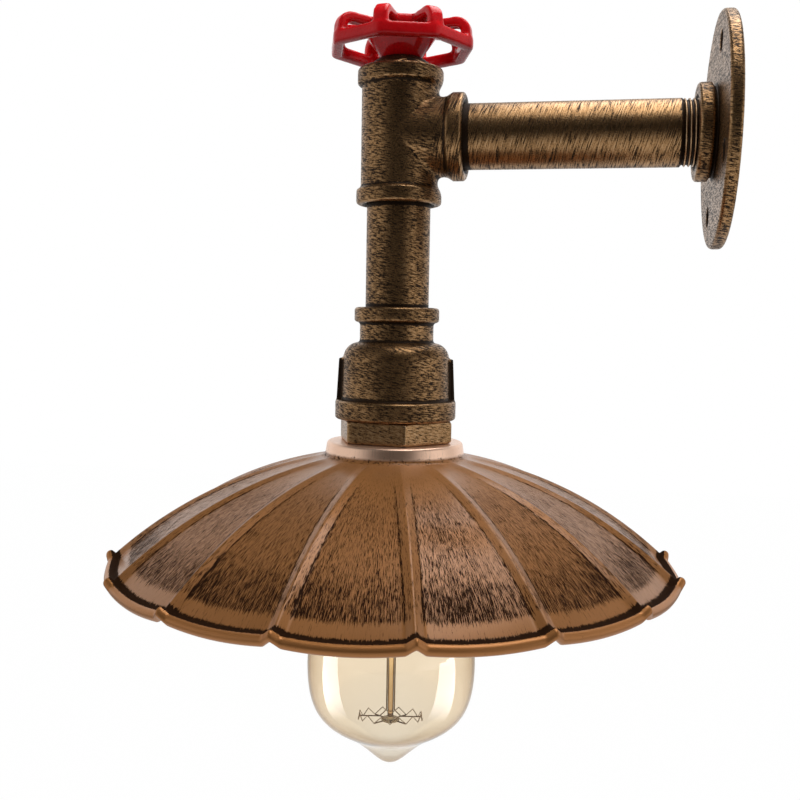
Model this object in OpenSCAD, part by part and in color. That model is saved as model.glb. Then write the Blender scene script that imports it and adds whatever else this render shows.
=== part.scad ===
// Pipe wall light. A wall flange carries a pipe arm, a tee with a hand wheel on top,
// and a short drop that ends in a reducer, a hex bush, a lamp holder and a ribbed shade.
// Millimetres. The origin is the centre of the flange's back face, +Y runs into the
// wall and +Z is up. The drop hangs from the tee at Y = -arm_reach.

/* [Pipe] */
// Outside diameter of the pipe
pipe_d = 26.9; // [26:0.1:28]
// Wall of the pipe
pipe_wall = 2.6; // [2:0.1:3.2]
// Length of pipe screwed into each fitting
pipe_grip = 13; // [11:0.5:15]
// Distance from the wall to the axis of the drop
arm_reach = 132; // [115:1:220]
// Bare drop pipe between the tee and the reducer
drop_bare = 43; // [30:1:120]

/* [Wall flange] */
// Diameter of the flange
flange_d = 92; // [90:1:110]
// Thickness of the flange plate
flange_t = 5; // [4:0.5:8]
// Diameter of the bead round the hub
hub_d = 38.6; // [37:0.2:42]
// Width of the bead round the hub
hub_bead_w = 6; // [4:0.5:8]
// Diameter of the hub between bead and plate
hub_neck_d = 35; // [34:0.2:36.5]
// Length of the hub's neck between bead and plate
hub_neck_len = 1.2; // [1:0.2:6]
// Thickness of the lip that the arm's end meets
flange_lip = 2; // [1.5:0.5:3]
// Diameter of the circle through the screw holes
screw_pcd = 69; // [62:1:72]
// Diameter of a screw hole
screw_hole_d = 7; // [4:0.5:8]
// Depth of the bevel at the front of a screw hole
screw_bevel = 1; // [0.5:0.1:1.5]
// Number of screw holes
screw_count = 4; // [3:1:6]
// Turn of the first screw hole away from the top
screw_turn = 21; // [0:1:89]

/* [Tee] */
// Centre of the tee to each of its faces
tee_reach = 28; // [27:0.5:40]
// Diameter of the tee's body
tee_body_d = 32.4; // [31.5:0.1:34.5]
// Diameter of the bead at each opening
bead_d = 36; // [35:0.2:40]
// Width of the bead at each opening
bead_w = 7; // [5:0.5:9]
// Width across the flats of the plug's head
plug_af = 26; // [24:0.5:28]
// Height of the plug's head
plug_head_h = 4.2; // [3:0.2:8]
// Diameter of the plug's head at its top
plug_top_d = 19; // [17:0.5:21]

/* [Hand wheel] */
// Width of the rim across its corners
wheel_d = 61; // [56:0.5:70]
// Height of the rim
rim_h = 4.8; // [4:0.2:8]
// Thickness of the rim
rim_t = 4; // [3:0.2:5]
// Radius of the rim's corners
rim_corner = 5; // [4.5:0.5:9]
// Height of the wheel from the rim's foot to the top of the arms
wheel_h = 12.8; // [11.6:0.2:18]
// Number of corners and arms
wheel_arms = 8; // [6:1:8]
// Height of the rim's foot above the hub's foot
rim_lift = 2.4; // [1:0.1:3.5]
// Width of an arm
arm_w = 5.6; // [4:0.2:6]
// Thickness of an arm
arm_t = 3.6; // [3:0.2:4.5]
// Radius of the bend at an arm's shoulder
arm_bend = 6; // [5:0.5:7]
// Fall of an arm from its shoulder to the hub
arm_fall = 0.8; // [0.4:0.1:1.5]
// Diameter of the hub at its foot
wheel_hub_foot_d = 16; // [14:0.5:18]
// Diameter of the hub at its top
wheel_hub_d = 31; // [26:0.5:33]
// Turn of the wheel at rest
wheel_turn = 39; // [0:1:60]
// Diameter of the spindle
spindle_d = 8; // [7:0.5:9]
// Width across the flats of the spindle's square
square_af = 5.4; // [5:0.1:5.6]
// Diameter of the spindle's threaded end
stud_d = 5; // [4:0.5:5]
// Thickness of the wheel's washer
wheel_washer_t = 1; // [0.6:0.1:1.5]
// Width across the flats of the wheel's nut
wheel_nut_af = 8; // [7:0.5:10]
// Height of the wheel's nut
wheel_nut_h = 2.6; // [2:0.2:4]
// Length of the threaded end beyond the nut
stud_over = 0.4; // [0.2:0.1:1]
// Length of the spindle below its clip
spindle_tail = 1.4; // [1:0.1:3]
// Depth of the groove for the clip
groove = 0.8; // [0.5:0.1:1.2]
// Thickness of the spindle's clip
clip_t = 1; // [0.8:0.1:1.4]
// Outside diameter of the spindle's clip
clip_d = 13; // [12:0.5:16]

/* [Reducer] */
// Length of the reducer
reducer_len = 47.5; // [46:0.5:60]
// Diameter of the upper collar
small_collar_d = 36.1; // [34:0.1:40]
// Width of the upper collar
small_collar_w = 6.3; // [5:0.1:9]
// Diameter of the neck below the upper collar
neck_d = 31.4; // [31:0.1:33]
// Length of the neck
neck_len = 8.5; // [7.5:0.5:12]
// Wall of the bell round the bush's thread
bell_wall = 2.15; // [2:0.05:3.5]
// Narrowing of the bell's wall at its shoulder
bell_taper = 0.6; // [0.2:0.1:0.8]
// Height of the lower collar above the bell
big_collar_lip = 2.6; // [2:0.1:4]
// Width of the lower collar
big_collar_w = 8.3; // [6:0.1:10]
// Height of a casting rib on the bell
cast_rib_h = 2; // [1:0.1:2.4]
// Width of a casting rib on the bell
cast_rib_w = 6; // [3:0.2:8]
// Bearing of the first casting rib
cast_rib_turn = 100; // [0:1:180]

/* [Hex bush] */
// Width across the hexagon's flats beyond the thread
bush_step = 2.3; // [1.5:0.1:4]
// Height of the hexagon
bush_hex_h = 9.5; // [7:0.5:14]
// Wall of the bush between its bore and its thread
bush_wall = 3.05; // [2.5:0.05:4]
// Length of the bush's thread
bush_grip = 12; // [9:0.5:13]
// Turn of the hexagon
bush_turn = 20; // [0:1:60]

/* [Lamp holder] */
// Outside diameter of the holder's shell
shell_d = 35.6; // [35:0.1:36]
// Wall of the holder's shell
shell_wall = 1.2; // [1:0.1:1.4]
// Length of the shell below the bush
shell_below = 18; // [16:0.5:24]
// Length of the shell screwed into the cap
shell_grip = 5; // [4:0.5:6]
// Wall of the holder's cap
cap_wall = 2.1; // [1.5:0.1:2.5]
// Height of the holder's cap
cap_h = 12; // [11:0.5:13]
// Thickness of the cap's top
cap_top_t = 1.5; // [1.2:0.1:2]
// Diameter of the wire hole in the grommet
grommet_hole_d = 8; // [7:0.5:9]
// Wall of the grommet in the cap's hole
grommet_wall = 2; // [1.5:0.1:2.5]
// Thickness of each lip of the grommet
grommet_lip = 1.2; // [1:0.1:1.6]
// Wall of the lamp screw shell
screw_shell_wall = 0.8; // [0.6:0.1:1]
// Length of the lamp screw shell
screw_shell_len = 23; // [20:0.5:24]
// Diameter of the spring plunger at the holder's centre
plunger_d = 9; // [7:0.5:11]
// Thickness of the plunger and of the terminal tabs
contact_t = 0.8; // [0.6:0.1:1.2]
// Diameter of the rods from the contacts to the terminals
rod_d = 3; // [2.5:0.1:3.5]
// Distance of each terminal from the axis
terminal_r = 9; // [8:0.5:10]
// Diameter of a terminal screw's head
terminal_head_d = 5; // [4:0.2:5.4]
// Height of a terminal screw's head
terminal_head_h = 2; // [1.5:0.1:2.4]

/* [Shade] */
// Number of panels
shade_panels = 16; // [12:1:20]
// Diameter of the shade at the ends of its ribs, to the middle of the rolled rim
shade_d = 240.5; // [210:0.5:280]
// Height of the shade from its top to the ends of its ribs
shade_h = 50; // [42:1:70]
// Rise of a rib above the straight line from neck to rim
shade_arch = 7; // [4:0.2:12]
// Thickness of the sheet
sheet = 1; // [0.8:0.1:1.4]
// Diameter of the neck cup at its top
cup_d = 58.4; // [56:0.2:64]
// Diameter of the neck cup at its foot
cup_foot_d = 59.8; // [58:0.2:66]
// Height of the neck cup
cup_h = 6; // [5:0.2:9]
// Radius of the cup's top edge
cup_round = 1.4; // [1.2:0.1:2]
// Diameter of the rolled rim
roll_d = 4.2; // [3.4:0.1:5]
// Depth of a panel below its ribs at the rim
panel_dip = 3.4; // [2:0.1:5]
// Depth of a panel below its ribs at the neck
panel_dip_neck = 0.5; // [0.2:0.1:1]
// Reach of the rib ends beyond the panels
rib_jut = 2; // [0.5:0.1:3]
// Turn of the first rib
shade_turn = 14.7; // [0:0.1:22]
// Diameter of the shade ring's flange
shade_ring_d = 48; // [44:0.5:52]
// Thickness of the shade ring's flange
shade_ring_t = 1.6; // [1.2:0.1:2.4]
// Height of the shade ring
shade_ring_h = 6; // [5:0.5:10]
// Wall of the shade ring's collar
shade_ring_wall = 2.4; // [1.8:0.1:3]

/* [Bulb] */
// Diameter of the bulb's screw cap
lamp_d = 26.4; // [26:0.1:26.6]
// Wall of the bulb's screw cap
lamp_wall = 0.5; // [0.4:0.1:0.8]
// Height of the bulb's screw cap
lamp_cap_h = 22; // [20:0.5:24]
// Height of the black glass between cap and contact
lamp_glass_h = 4; // [3:0.5:5]
// Diameter of the solder contact
lamp_contact_d = 9; // [7:0.5:11]
// Height of the solder contact
lamp_contact_h = 1.4; // [1:0.1:2]
// Contact to the widest part of the glass
bulb_widest = 99.6; // [94:0.2:106]
// Largest diameter of the glass
bulb_d = 72.8; // [62:0.2:80]
// Wall of the glass
glass_wall = 1; // [0.8:0.1:1.4]
// Diameter of the stem's rod
stem_d = 2.6; // [2.4:0.1:5]
// Contact to the foot of the filament
filament_foot = 131; // [125:1:140]
// Glass below the foot of the filament
tip_room = 19.4; // [18.5:0.1:30]
// Width of the filament's wreath between its leads
filament_ring_d = 28; // [20:1:30]
// Width of the wreath the other way
filament_ring_w = 12; // [11:1:20]
// Number of peaks round the wreath
filament_peaks = 12; // [8:4:16]
// Height of a peak
filament_rise = 3.2; // [2:0.2:8]
// Turn of the two leads
filament_turn = 100; // [0:1:180]
// Thickness of the filament
filament_d = 0.5; // [0.4:0.1:0.8]
// Thickness of the leads and the support wires
support_d = 0.6; // [0.5:0.1:1.2]

/* [Wires] */
// Diameter of a wire over its insulation
wire_d = 2.2; // [1.8:0.1:2.6]
// Diameter of a splice
splice_d = 6; // [5:0.2:6.4]
// Length of a splice
splice_len = 18; // [14:1:20]
// Distance from the wall to the splices
splice_back = 14; // [12:1:20]

/* [Fits] */
// Radial gap between pieces that are screwed or pressed together
fit = 0.1; // [0.05:0.01:0.15]
// Radial gap of the spindle in the plug
run_fit = 0.06; // [0.03:0.01:0.1]
// Radial gap of the bulb's cap in the screw shell
lamp_fit = 0.3; // [0.2:0.05:0.4]
// End gap of pieces that turn
end_fit = 0.2; // [0.1:0.05:0.3]
// Bevel at the mouth of a pipe socket
mouth_bevel = 1.4; // [0.8:0.1:2]
// Bevel on the edges of the fittings
ease = 0.8; // [0.4:0.1:1]

/* [Hidden] */
$fn = 72;
over = 1;

// Heights on the drop's axis, measured from the tee's centre
pipe_bore_d = pipe_d - 2*pipe_wall;
socket_r = pipe_d/2 + fit;
tee_seat = tee_reach - pipe_grip;
reducer_top = -tee_reach - drop_bare;
reducer_foot = reducer_top - reducer_len;
bush_foot = reducer_foot - bush_hex_h;
bush_top = reducer_foot + bush_grip;
cap_top = bush_top + cap_h;
shell_top = bush_top + shell_grip;
shell_foot = bush_foot - shell_below;

// Wall flange
hub_h = flange_t + hub_neck_len + hub_bead_w;

// Hand wheel
plug_top = tee_reach + plug_head_h;
wheel_foot = plug_top + end_fit;
rim_foot = wheel_foot + rim_lift;
arm_top = rim_foot + wheel_h;
hub_top = arm_top - arm_fall;
nut_seat = hub_top - wheel_washer_t - wheel_nut_h;
clip_top = tee_seat - end_fit;
spindle_foot = clip_top - clip_t - spindle_tail;
groove_d = spindle_d - 2*groove;
washer_lap = 1.5;
nut_room = 2;
clip_grip = 0.5;
wheel_washer_d = wheel_nut_af/cos(30) + 2*washer_lap;

// Hex bush and reducer, built up round the holder's shell
bush_bore_d = shell_d + 2*fit;
bush_thread_d = bush_bore_d + 2*bush_wall;
bush_af = bush_thread_d + bush_step;
cap_d = bush_bore_d + 2*cap_wall;
cavity_d = bush_thread_d + 2*fit;
bell_d = cavity_d + 2*bell_wall;
big_collar_d = bell_d + 2*big_collar_lip;
bell_round = (bell_d - neck_d)/2 - bell_taper;
neck_foot = reducer_top - small_collar_w - neck_len;
cavity_room = 1;
cavity_top = cap_top + cavity_room;
throat_len = 2.5;
throat_top = reducer_top - pipe_grip;
throat_foot = throat_top - throat_len;

// Lamp holder and bulb
screw_shell_d = lamp_d + 2*lamp_fit + 2*screw_shell_wall;
insulator_d = shell_d - 2*shell_wall - 2*fit;
shell_lip = 1.2;
lamp_room = 2;
shell_lip_d = lamp_d + 2*lamp_room;
insulator_foot = shell_foot + shell_lip;
insulator_rise = 2.5;
insulator_top = bush_top + insulator_rise;
socket_lift = 4;
socket_foot = insulator_foot + socket_lift;
socket_top = socket_foot + screw_shell_len;
plunger_drop = 1.6;
plunger_room = 2;
plunger_foot = socket_top - contact_t - plunger_drop;
contact_top = plunger_foot - fit;
lamp_top = contact_top - lamp_contact_h;
lamp_shell_top = lamp_top - lamp_glass_h;
lamp_shell_foot = lamp_shell_top - lamp_cap_h;
lamp_shoulder = 2.5;
contact_round = 0.8;
tab_w = 2*terminal_head_d;
tab_len = 1.25*tab_w;
terminal_len = 4;
terminal_hole = terminal_len + 1;
tab_top = insulator_top + contact_t;

// Shade
shade_top = bush_foot;
shade_fit = 0.3;
hole_d = shell_d + 2*shade_fit;
rim_r = shade_d/2;
foot_share = 0.78;
flank_share = 0.65;
roll_r = roll_d/2;
roll_angle = -25;
shade_steps = 11;
sides_of_gore = [-1, -foot_share, -foot_share/2, 0, foot_share/2, foot_share];

// Names of the pieces

// Colours
bronze = [0.42, 0.31, 0.19];
dark_bronze = [0.2, 0.16, 0.11];
copper = [0.62, 0.42, 0.27];
enamel = [0.72, 0.05, 0.07];
steel = [0.72, 0.72, 0.7];
brass = [0.8, 0.66, 0.33];
ceramic = [0.93, 0.91, 0.86];
amber = [0.93, 0.7, 0.32, 0.45];

// Points of an arc about a centre, from one angle to another
function arc(centre, r, from, to, steps) =
    [for (i = [0:steps]) let(a = from + (to - from)*i/steps)
        centre + r*[cos(a), sin(a)]];

// Points of a cubic curve with two handles, without its first point
function curve(a, b, c, d, steps) =
    [for (i = [1:steps]) let(t = i/steps, s = 1 - t)
        s*s*s*a + 3*s*s*t*b + 3*s*t*t*c + t*t*t*d];

function flip(list) = [for (i = [len(list) - 1:-1:0]) list[i]];
function unit(v) = v/norm(v);

// Places a piece that is drawn upward from the wall plane, or on the drop's axis
module from_wall() { rotate([90, 0, 0]) children(); }
module on_drop(z = 0) { translate([0, -arm_reach, z]) children(); }

// Plain tube
module tube(d, bore, h) {
    difference() {
        cylinder(d = d, h = h);
        translate([0, 0, -over]) cylinder(d = bore, h = h + 2*over);
    }
}

// Hexagonal prism by its width across the flats
module hexagon(af, h) { cylinder(d = af/cos(30), h = h, $fn = 6); }

// One opening of a fitting: its body from the centre outward, with the bead at the end
module tee_arm(reach) {
    rotate_extrude() polygon([
        [0, 0], [tee_body_d/2, 0], [tee_body_d/2, reach - bead_w],
        [bead_d/2, reach - bead_w + ease], [bead_d/2, reach - ease],
        [bead_d/2 - ease, reach], [0, reach]
    ]);
}

// Socket for a pipe end, with the passage behind it
module tee_bore(reach) {
    translate([0, 0, tee_seat]) cylinder(r = socket_r, h = reach - tee_seat + over);
    translate([0, 0, reach - mouth_bevel])
        cylinder(r1 = socket_r, r2 = socket_r + 2*mouth_bevel, h = 2*mouth_bevel);
    cylinder(d = pipe_bore_d, h = reach);
}

module wall_flange() {
    color(bronze) from_wall() difference() {
        rotate_extrude() polygon([
            [pipe_bore_d/2, 0], [flange_d/2 - ease, 0], [flange_d/2, ease],
            [flange_d/2, flange_t - ease], [flange_d/2 - ease, flange_t],
            [hub_neck_d/2, flange_t], [hub_neck_d/2, hub_h - hub_bead_w],
            [hub_d/2, hub_h - hub_bead_w + ease], [hub_d/2, hub_h - ease],
            [hub_d/2 - ease, hub_h], [socket_r + mouth_bevel, hub_h],
            [socket_r, hub_h - mouth_bevel], [socket_r, flange_lip], [pipe_bore_d/2, flange_lip]
        ]);
        for (i = [0:screw_count - 1]) rotate(360*i/screw_count - screw_turn)
            translate([0, screw_pcd/2, 0]) {
                translate([0, 0, -over]) cylinder(d = screw_hole_d, h = flange_t + 2*over);
                translate([0, 0, flange_t - screw_bevel])
                    cylinder(d1 = screw_hole_d, d2 = screw_hole_d + 4*screw_bevel, h = 2*screw_bevel);
            }
    }
}

module arm_pipe() {
    color(bronze) from_wall() translate([0, 0, flange_lip])
        tube(pipe_d, pipe_bore_d, arm_reach - tee_seat - flange_lip);
}

module tee() {
    color(bronze) on_drop() difference() {
        union() {
            tee_arm(tee_reach);
            rotate([180, 0, 0]) tee_arm(tee_reach);
            rotate([-90, 0, 0]) tee_arm(tee_reach);
        }
        tee_bore(tee_reach);
        rotate([180, 0, 0]) tee_bore(tee_reach);
        rotate([-90, 0, 0]) tee_bore(tee_reach);
    }
}

// The plug fills the tee's upper opening and carries the spindle
module tee_plug() {
    color(dark_bronze) on_drop() difference() {
        union() {
            translate([0, 0, tee_seat]) cylinder(d = pipe_d, h = pipe_grip);
            translate([0, 0, tee_reach]) intersection() {
                hexagon(plug_af, plug_head_h);
                cylinder(d1 = plug_af/cos(30), d2 = plug_top_d, h = plug_head_h);
            }
        }
        translate([0, 0, tee_seat - over])
            cylinder(d = spindle_d + 2*run_fit, h = pipe_grip + plug_head_h + 2*over);
    }
}

module drop_pipe() {
    drop_len = drop_bare + 2*pipe_grip;
    color(bronze) on_drop(-tee_seat - drop_len) tube(pipe_d, pipe_bore_d, drop_len);
}

module reducer() {
    collar_foot = reducer_top - small_collar_w;
    big_top = reducer_foot + big_collar_w;
    shoulder = arc([neck_d/2, neck_foot - bell_round], bell_round, 90, 0, 8);
    color(bronze) on_drop() {
        rotate_extrude() polygon(concat(
            [[socket_r, reducer_top - mouth_bevel], [socket_r + mouth_bevel, reducer_top],
             [small_collar_d/2 - ease, reducer_top],
             [small_collar_d/2, reducer_top - ease], [small_collar_d/2, collar_foot + ease],
             [small_collar_d/2 - ease, collar_foot], [neck_d/2, collar_foot]],
            shoulder,
            [[bell_d/2, big_top], [big_collar_d/2 - ease, big_top],
             [big_collar_d/2, big_top - ease], [big_collar_d/2, reducer_foot + ease],
             [big_collar_d/2 - ease, reducer_foot], [cavity_d/2, reducer_foot],
             [cavity_d/2, cavity_top], [pipe_bore_d/2, throat_foot],
             [pipe_bore_d/2, throat_top], [socket_r, throat_top]]
        ));
        rib_top = neck_foot - bell_round;
        rib_root = ease + bell_taper;
        for (side = [0, 180]) rotate(cast_rib_turn + side)
            translate([bell_d/2 - rib_root, -cast_rib_w/2, big_top - ease])
                cube([cast_rib_h + rib_root, cast_rib_w, rib_top - big_top + ease]);
    }
}

module hex_bush() {
    corner = bush_af/cos(30)/2;
    color(bronze) on_drop() difference() {
        union() {
            translate([0, 0, bush_foot]) rotate(bush_turn) intersection() {
                hexagon(bush_af, bush_hex_h);
                rotate_extrude() polygon([
                    [0, 0], [corner - 2*ease, 0], [corner, ease], [corner, bush_hex_h - ease],
                    [corner - 2*ease, bush_hex_h], [0, bush_hex_h]
                ]);
            }
            translate([0, 0, reducer_foot]) cylinder(d = bush_thread_d, h = bush_grip);
        }
        translate([0, 0, bush_foot - over])
            cylinder(d = bush_bore_d, h = bush_hex_h + bush_grip + 2*over);
    }
}

// Rim outline: a polygon with round corners, given the width across its corners
module rim_outline(d, corner_r) {
    swing = 180/wheel_arms;
    polygon([for (i = [0:wheel_arms - 1])
        each arc((d/2 - corner_r)*[cos(2*swing*i), sin(2*swing*i)], corner_r,
                 2*swing*i - swing, 2*swing*i + swing, 6)]);
}

// Side view of an arm, which rises from the rim and bends in to the hub
module arm_outline() {
    outer = wheel_d/2 - ease;
    centre = [outer - arm_bend, arm_top - arm_bend];
    inner_bend = arm_bend - arm_t;
    hub_in = wheel_hub_d/2 - 2*ease;
    polygon(concat(
        [[hub_in, hub_top]],
        arc(centre, arm_bend, 90, 0, 8),
        [[outer, rim_foot + ease], [outer - arm_t, rim_foot + ease]],
        arc(centre, inner_bend, 0, 90, 5),
        [[hub_in, hub_top - arm_t]]
    ));
}

module hand_wheel() {
    color(enamel) on_drop() rotate(wheel_turn) difference() {
        union() {
            translate([0, 0, rim_foot]) linear_extrude(rim_h) difference() {
                rim_outline(wheel_d, rim_corner);
                rim_outline(wheel_d - 2*rim_t/cos(180/wheel_arms), rim_corner - rim_t);
            }
            for (i = [0:wheel_arms - 1]) rotate(360*i/wheel_arms) rotate([90, 0, 0])
                translate([0, 0, -arm_w/2]) linear_extrude(arm_w) arm_outline();
            rotate_extrude() polygon([
                [0, wheel_foot], [wheel_hub_foot_d/2, wheel_foot],
                [wheel_hub_d/2, hub_top - arm_t], [wheel_hub_d/2, hub_top - ease],
                [wheel_hub_d/2 - ease, hub_top], [0, hub_top]
            ]);
        }
        translate([0, 0, nut_seat]) cylinder(d = wheel_washer_d + 2*nut_room, h = arm_top);
        translate([0, 0, wheel_foot - over])
            cylinder(d = (square_af + 2*fit)/cos(45), h = arm_top, $fn = 4);
    }
}

// Round in the plug, square in the wheel's hub, threaded for the nut
module wheel_spindle() {
    color(steel) on_drop() rotate(wheel_turn) difference() {
        union() {
            translate([0, 0, spindle_foot]) cylinder(d = spindle_d, h = wheel_foot - spindle_foot);
            translate([0, 0, wheel_foot])
                cylinder(d = square_af/cos(45), h = nut_seat - wheel_foot, $fn = 4);
            translate([0, 0, nut_seat])
                cylinder(d = stud_d, h = wheel_washer_t + wheel_nut_h + stud_over);
        }
        translate([0, 0, clip_top - clip_t]) tube(spindle_d + over, groove_d, clip_t);
    }
}

// Open spring clip in the spindle's groove, below the plug
module spindle_clip() {
    slot = groove_d - 2*clip_grip;
    color(steel) on_drop(clip_top - clip_t + fit) difference() {
        tube(clip_d, groove_d + 2*fit, clip_t - 2*fit);
        translate([0, -slot/2, -over]) cube([clip_d, slot, clip_t + 2*over]);
    }
}

module wheel_washer() {
    color(steel) on_drop(nut_seat)
        tube(wheel_washer_d, stud_d + 2*fit, wheel_washer_t);
}

module wheel_nut() {
    color(steel) on_drop(nut_seat + wheel_washer_t) difference() {
        hexagon(wheel_nut_af, wheel_nut_h);
        translate([0, 0, -over]) cylinder(d = stud_d + 2*fit, h = wheel_nut_h + 2*over);
    }
}

// The cap stands on the bush's upper end, and the shell screws up into it
module holder_cap() {
    inside = bush_bore_d/2;
    hole = grommet_hole_d/2 + grommet_wall + fit;
    color(steel) on_drop() rotate_extrude() polygon([
        [inside, bush_top], [cap_d/2, bush_top], [cap_d/2, cap_top - 2*ease],
        [cap_d/2 - 2*ease, cap_top], [hole, cap_top], [hole, cap_top - cap_top_t],
        [inside, cap_top - cap_top_t]
    ]);
}

module wire_grommet() {
    waist = grommet_hole_d/2 + grommet_wall;
    lip = waist + grommet_wall;
    low = cap_top - cap_top_t;
    lip_ease = grommet_lip/3;
    color([0.1, 0.1, 0.1]) on_drop() rotate_extrude() polygon([
        [grommet_hole_d/2, low - grommet_lip], [lip, low - grommet_lip], [lip, low],
        [waist, low], [waist, cap_top], [lip, cap_top], [lip - lip_ease, cap_top + grommet_lip],
        [grommet_hole_d/2, cap_top + grommet_lip]
    ]);
}

module holder_shell() {
    inside = shell_d/2 - shell_wall;
    color(brass) on_drop() rotate_extrude() polygon([
        [shell_lip_d/2, shell_foot], [shell_d/2 - ease/2, shell_foot],
        [shell_d/2, shell_foot + ease/2], [shell_d/2, shell_top], [inside, shell_top],
        [inside, insulator_foot], [shell_lip_d/2, insulator_foot]
    ]);
}

module holder_insulator() {
    color(ceramic) on_drop() difference() {
        translate([0, 0, insulator_foot]) cylinder(d = insulator_d, h = insulator_top - insulator_foot);
        translate([0, 0, insulator_foot - over])
            cylinder(d = screw_shell_d + 2*fit, h = socket_top - insulator_foot + over);
        for (x = [0, -terminal_r]) translate([x, 0, socket_top - over])
            cylinder(d = rod_d + 2*fit, h = insulator_top - socket_top + 2*over);
        for (x = [-terminal_r, terminal_r]) translate([x, terminal_head_d, insulator_top - terminal_hole])
            cylinder(d = rod_d + 2*fit, h = terminal_hole + over);
    }
}

// Tab on top of the insulator, under a terminal screw and a wire's end
module terminal_tab(x_from, x_to) {
    translate([x_from, -tab_w/2, insulator_top])
        cube([x_to - x_from, tab_len, contact_t]);
}

// Screw shell of the holder, with its rod and tab for the neutral wire
module screw_shell() {
    color(brass) on_drop() difference() {
        union() {
            translate([0, 0, socket_foot])
                tube(screw_shell_d, screw_shell_d - 2*screw_shell_wall, screw_shell_len);
            translate([0, 0, socket_top - screw_shell_wall])
                tube(screw_shell_d, plunger_d + 2*plunger_room, screw_shell_wall);
            translate([-terminal_r, 0, socket_top - screw_shell_wall])
                cylinder(d = rod_d, h = insulator_top - socket_top + screw_shell_wall);
            terminal_tab(-terminal_r - rod_d, -terminal_r + rod_d);
        }
        translate([-terminal_r, terminal_head_d, insulator_top - over])
            cylinder(d = rod_d + 2*fit, h = contact_t + 2*over);
    }
}

// Sprung centre contact of the holder, with its rod and tab for the live wire
module centre_contact() {
    color(brass) on_drop() difference() {
        union() {
            translate([0, 0, plunger_foot]) cylinder(d = plunger_d, h = contact_t);
            translate([0, 0, plunger_foot]) cylinder(d = rod_d, h = tab_top - plunger_foot);
            terminal_tab(-rod_d/2, terminal_r + rod_d);
        }
        translate([terminal_r, terminal_head_d, insulator_top - over])
            cylinder(d = rod_d + 2*fit, h = contact_t + 2*over);
    }
}

module terminal_screws() {
    color(steel) on_drop() for (x = [-terminal_r, terminal_r])
        translate([x, terminal_head_d, tab_top]) {
            cylinder(d = terminal_head_d, h = terminal_head_h);
            translate([0, 0, -terminal_len]) cylinder(d = rod_d, h = terminal_len);
        }
}

// Ring on the holder's shell that clamps the shade up against the bush
module shade_ring() {
    bore = bush_bore_d/2;
    low = shade_top - sheet - shade_ring_h;
    color(dark_bronze) on_drop() rotate_extrude() polygon([
        [bore, low], [bore + shade_ring_wall, low],
        [bore + shade_ring_wall, shade_top - sheet - shade_ring_t],
        [shade_ring_d/2, shade_top - sheet - shade_ring_t],
        [shade_ring_d/2, shade_top - sheet], [bore, shade_top - sheet]
    ]);
}

// Line of a rib's crest from the neck cup (t = 0) to the rolled rim (t = 1)
crest_start = [cup_foot_d/2, shade_top - cup_h];
crest_end = [rim_r, shade_top - shade_h] - roll_r*[cos(roll_angle), sin(roll_angle)];
crest_up = unit([crest_start[1] - crest_end[1], crest_end[0] - crest_start[0]]);
function crest(t) = crest_start + (crest_end - crest_start)*t + 4*shade_arch*t*(1 - t)*crest_up;

// Share of the panel's full depth at a side of a gore: 0 on the rib, 1 in mid panel
function dip(side) = let(q = abs(side))
    q > foot_share ? flank_share*(1 - q)/(1 - foot_share)
                   : flank_share + (1 - flank_share)*(1 - pow(q/foot_share, 2));

// Shift of the pressed sheet away from the crest line
function press(t, side) =
    [rib_jut*pow(t, 5)*-dip(side),
     -(panel_dip_neck + (panel_dip - panel_dip_neck)*t)*dip(side)];

// Closed section of the shade at one side of a gore: up the outside, round the roll, back inside
function shade_section(side) =
    let(outside = [for (i = [0:shade_steps]) let(t = i/shade_steps) crest(t) + press(t, side)],
        roll_centre = outside[shade_steps] + roll_r*[cos(roll_angle), sin(roll_angle)],
        roll = arc(roll_centre, roll_r, 115, -165, 7),
        inside = [for (p = flip(outside)) p - sheet*crest_up])
    concat(
        [[hole_d/2, shade_top]],
        arc([cup_d/2 - cup_round, shade_top - cup_round], cup_round, 90, 0, 3),
        outside, roll, inside,
        arc([cup_d/2 - cup_round, shade_top - cup_round], cup_round - sheet, 0, 90, 2),
        [[hole_d/2, shade_top - sheet]]
    );

module shade() {
    gore = 360/shade_panels;
    sections = [for (side = sides_of_gore) shade_section(side)];
    per_gore = len(sides_of_gore);
    rings = shade_panels*per_gore;
    n = len(sections[0]);
    points = [for (k = [0:shade_panels - 1]) for (s = [0:per_gore - 1])
        let(a = shade_turn + gore*(k + (sides_of_gore[s] + 1)/2))
        for (p = sections[s]) [p[0]*cos(a), p[0]*sin(a), p[1]]];
    faces = [for (i = [0:rings - 1]) for (j = [0:n - 1])
        let(next_ring = (i + 1) % rings, next = (j + 1) % n)
        each [[i*n + j, i*n + next, next_ring*n + next],
              [i*n + j, next_ring*n + next, next_ring*n + j]]];
    color(copper) on_drop() polyhedron(points, faces);
}

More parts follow.
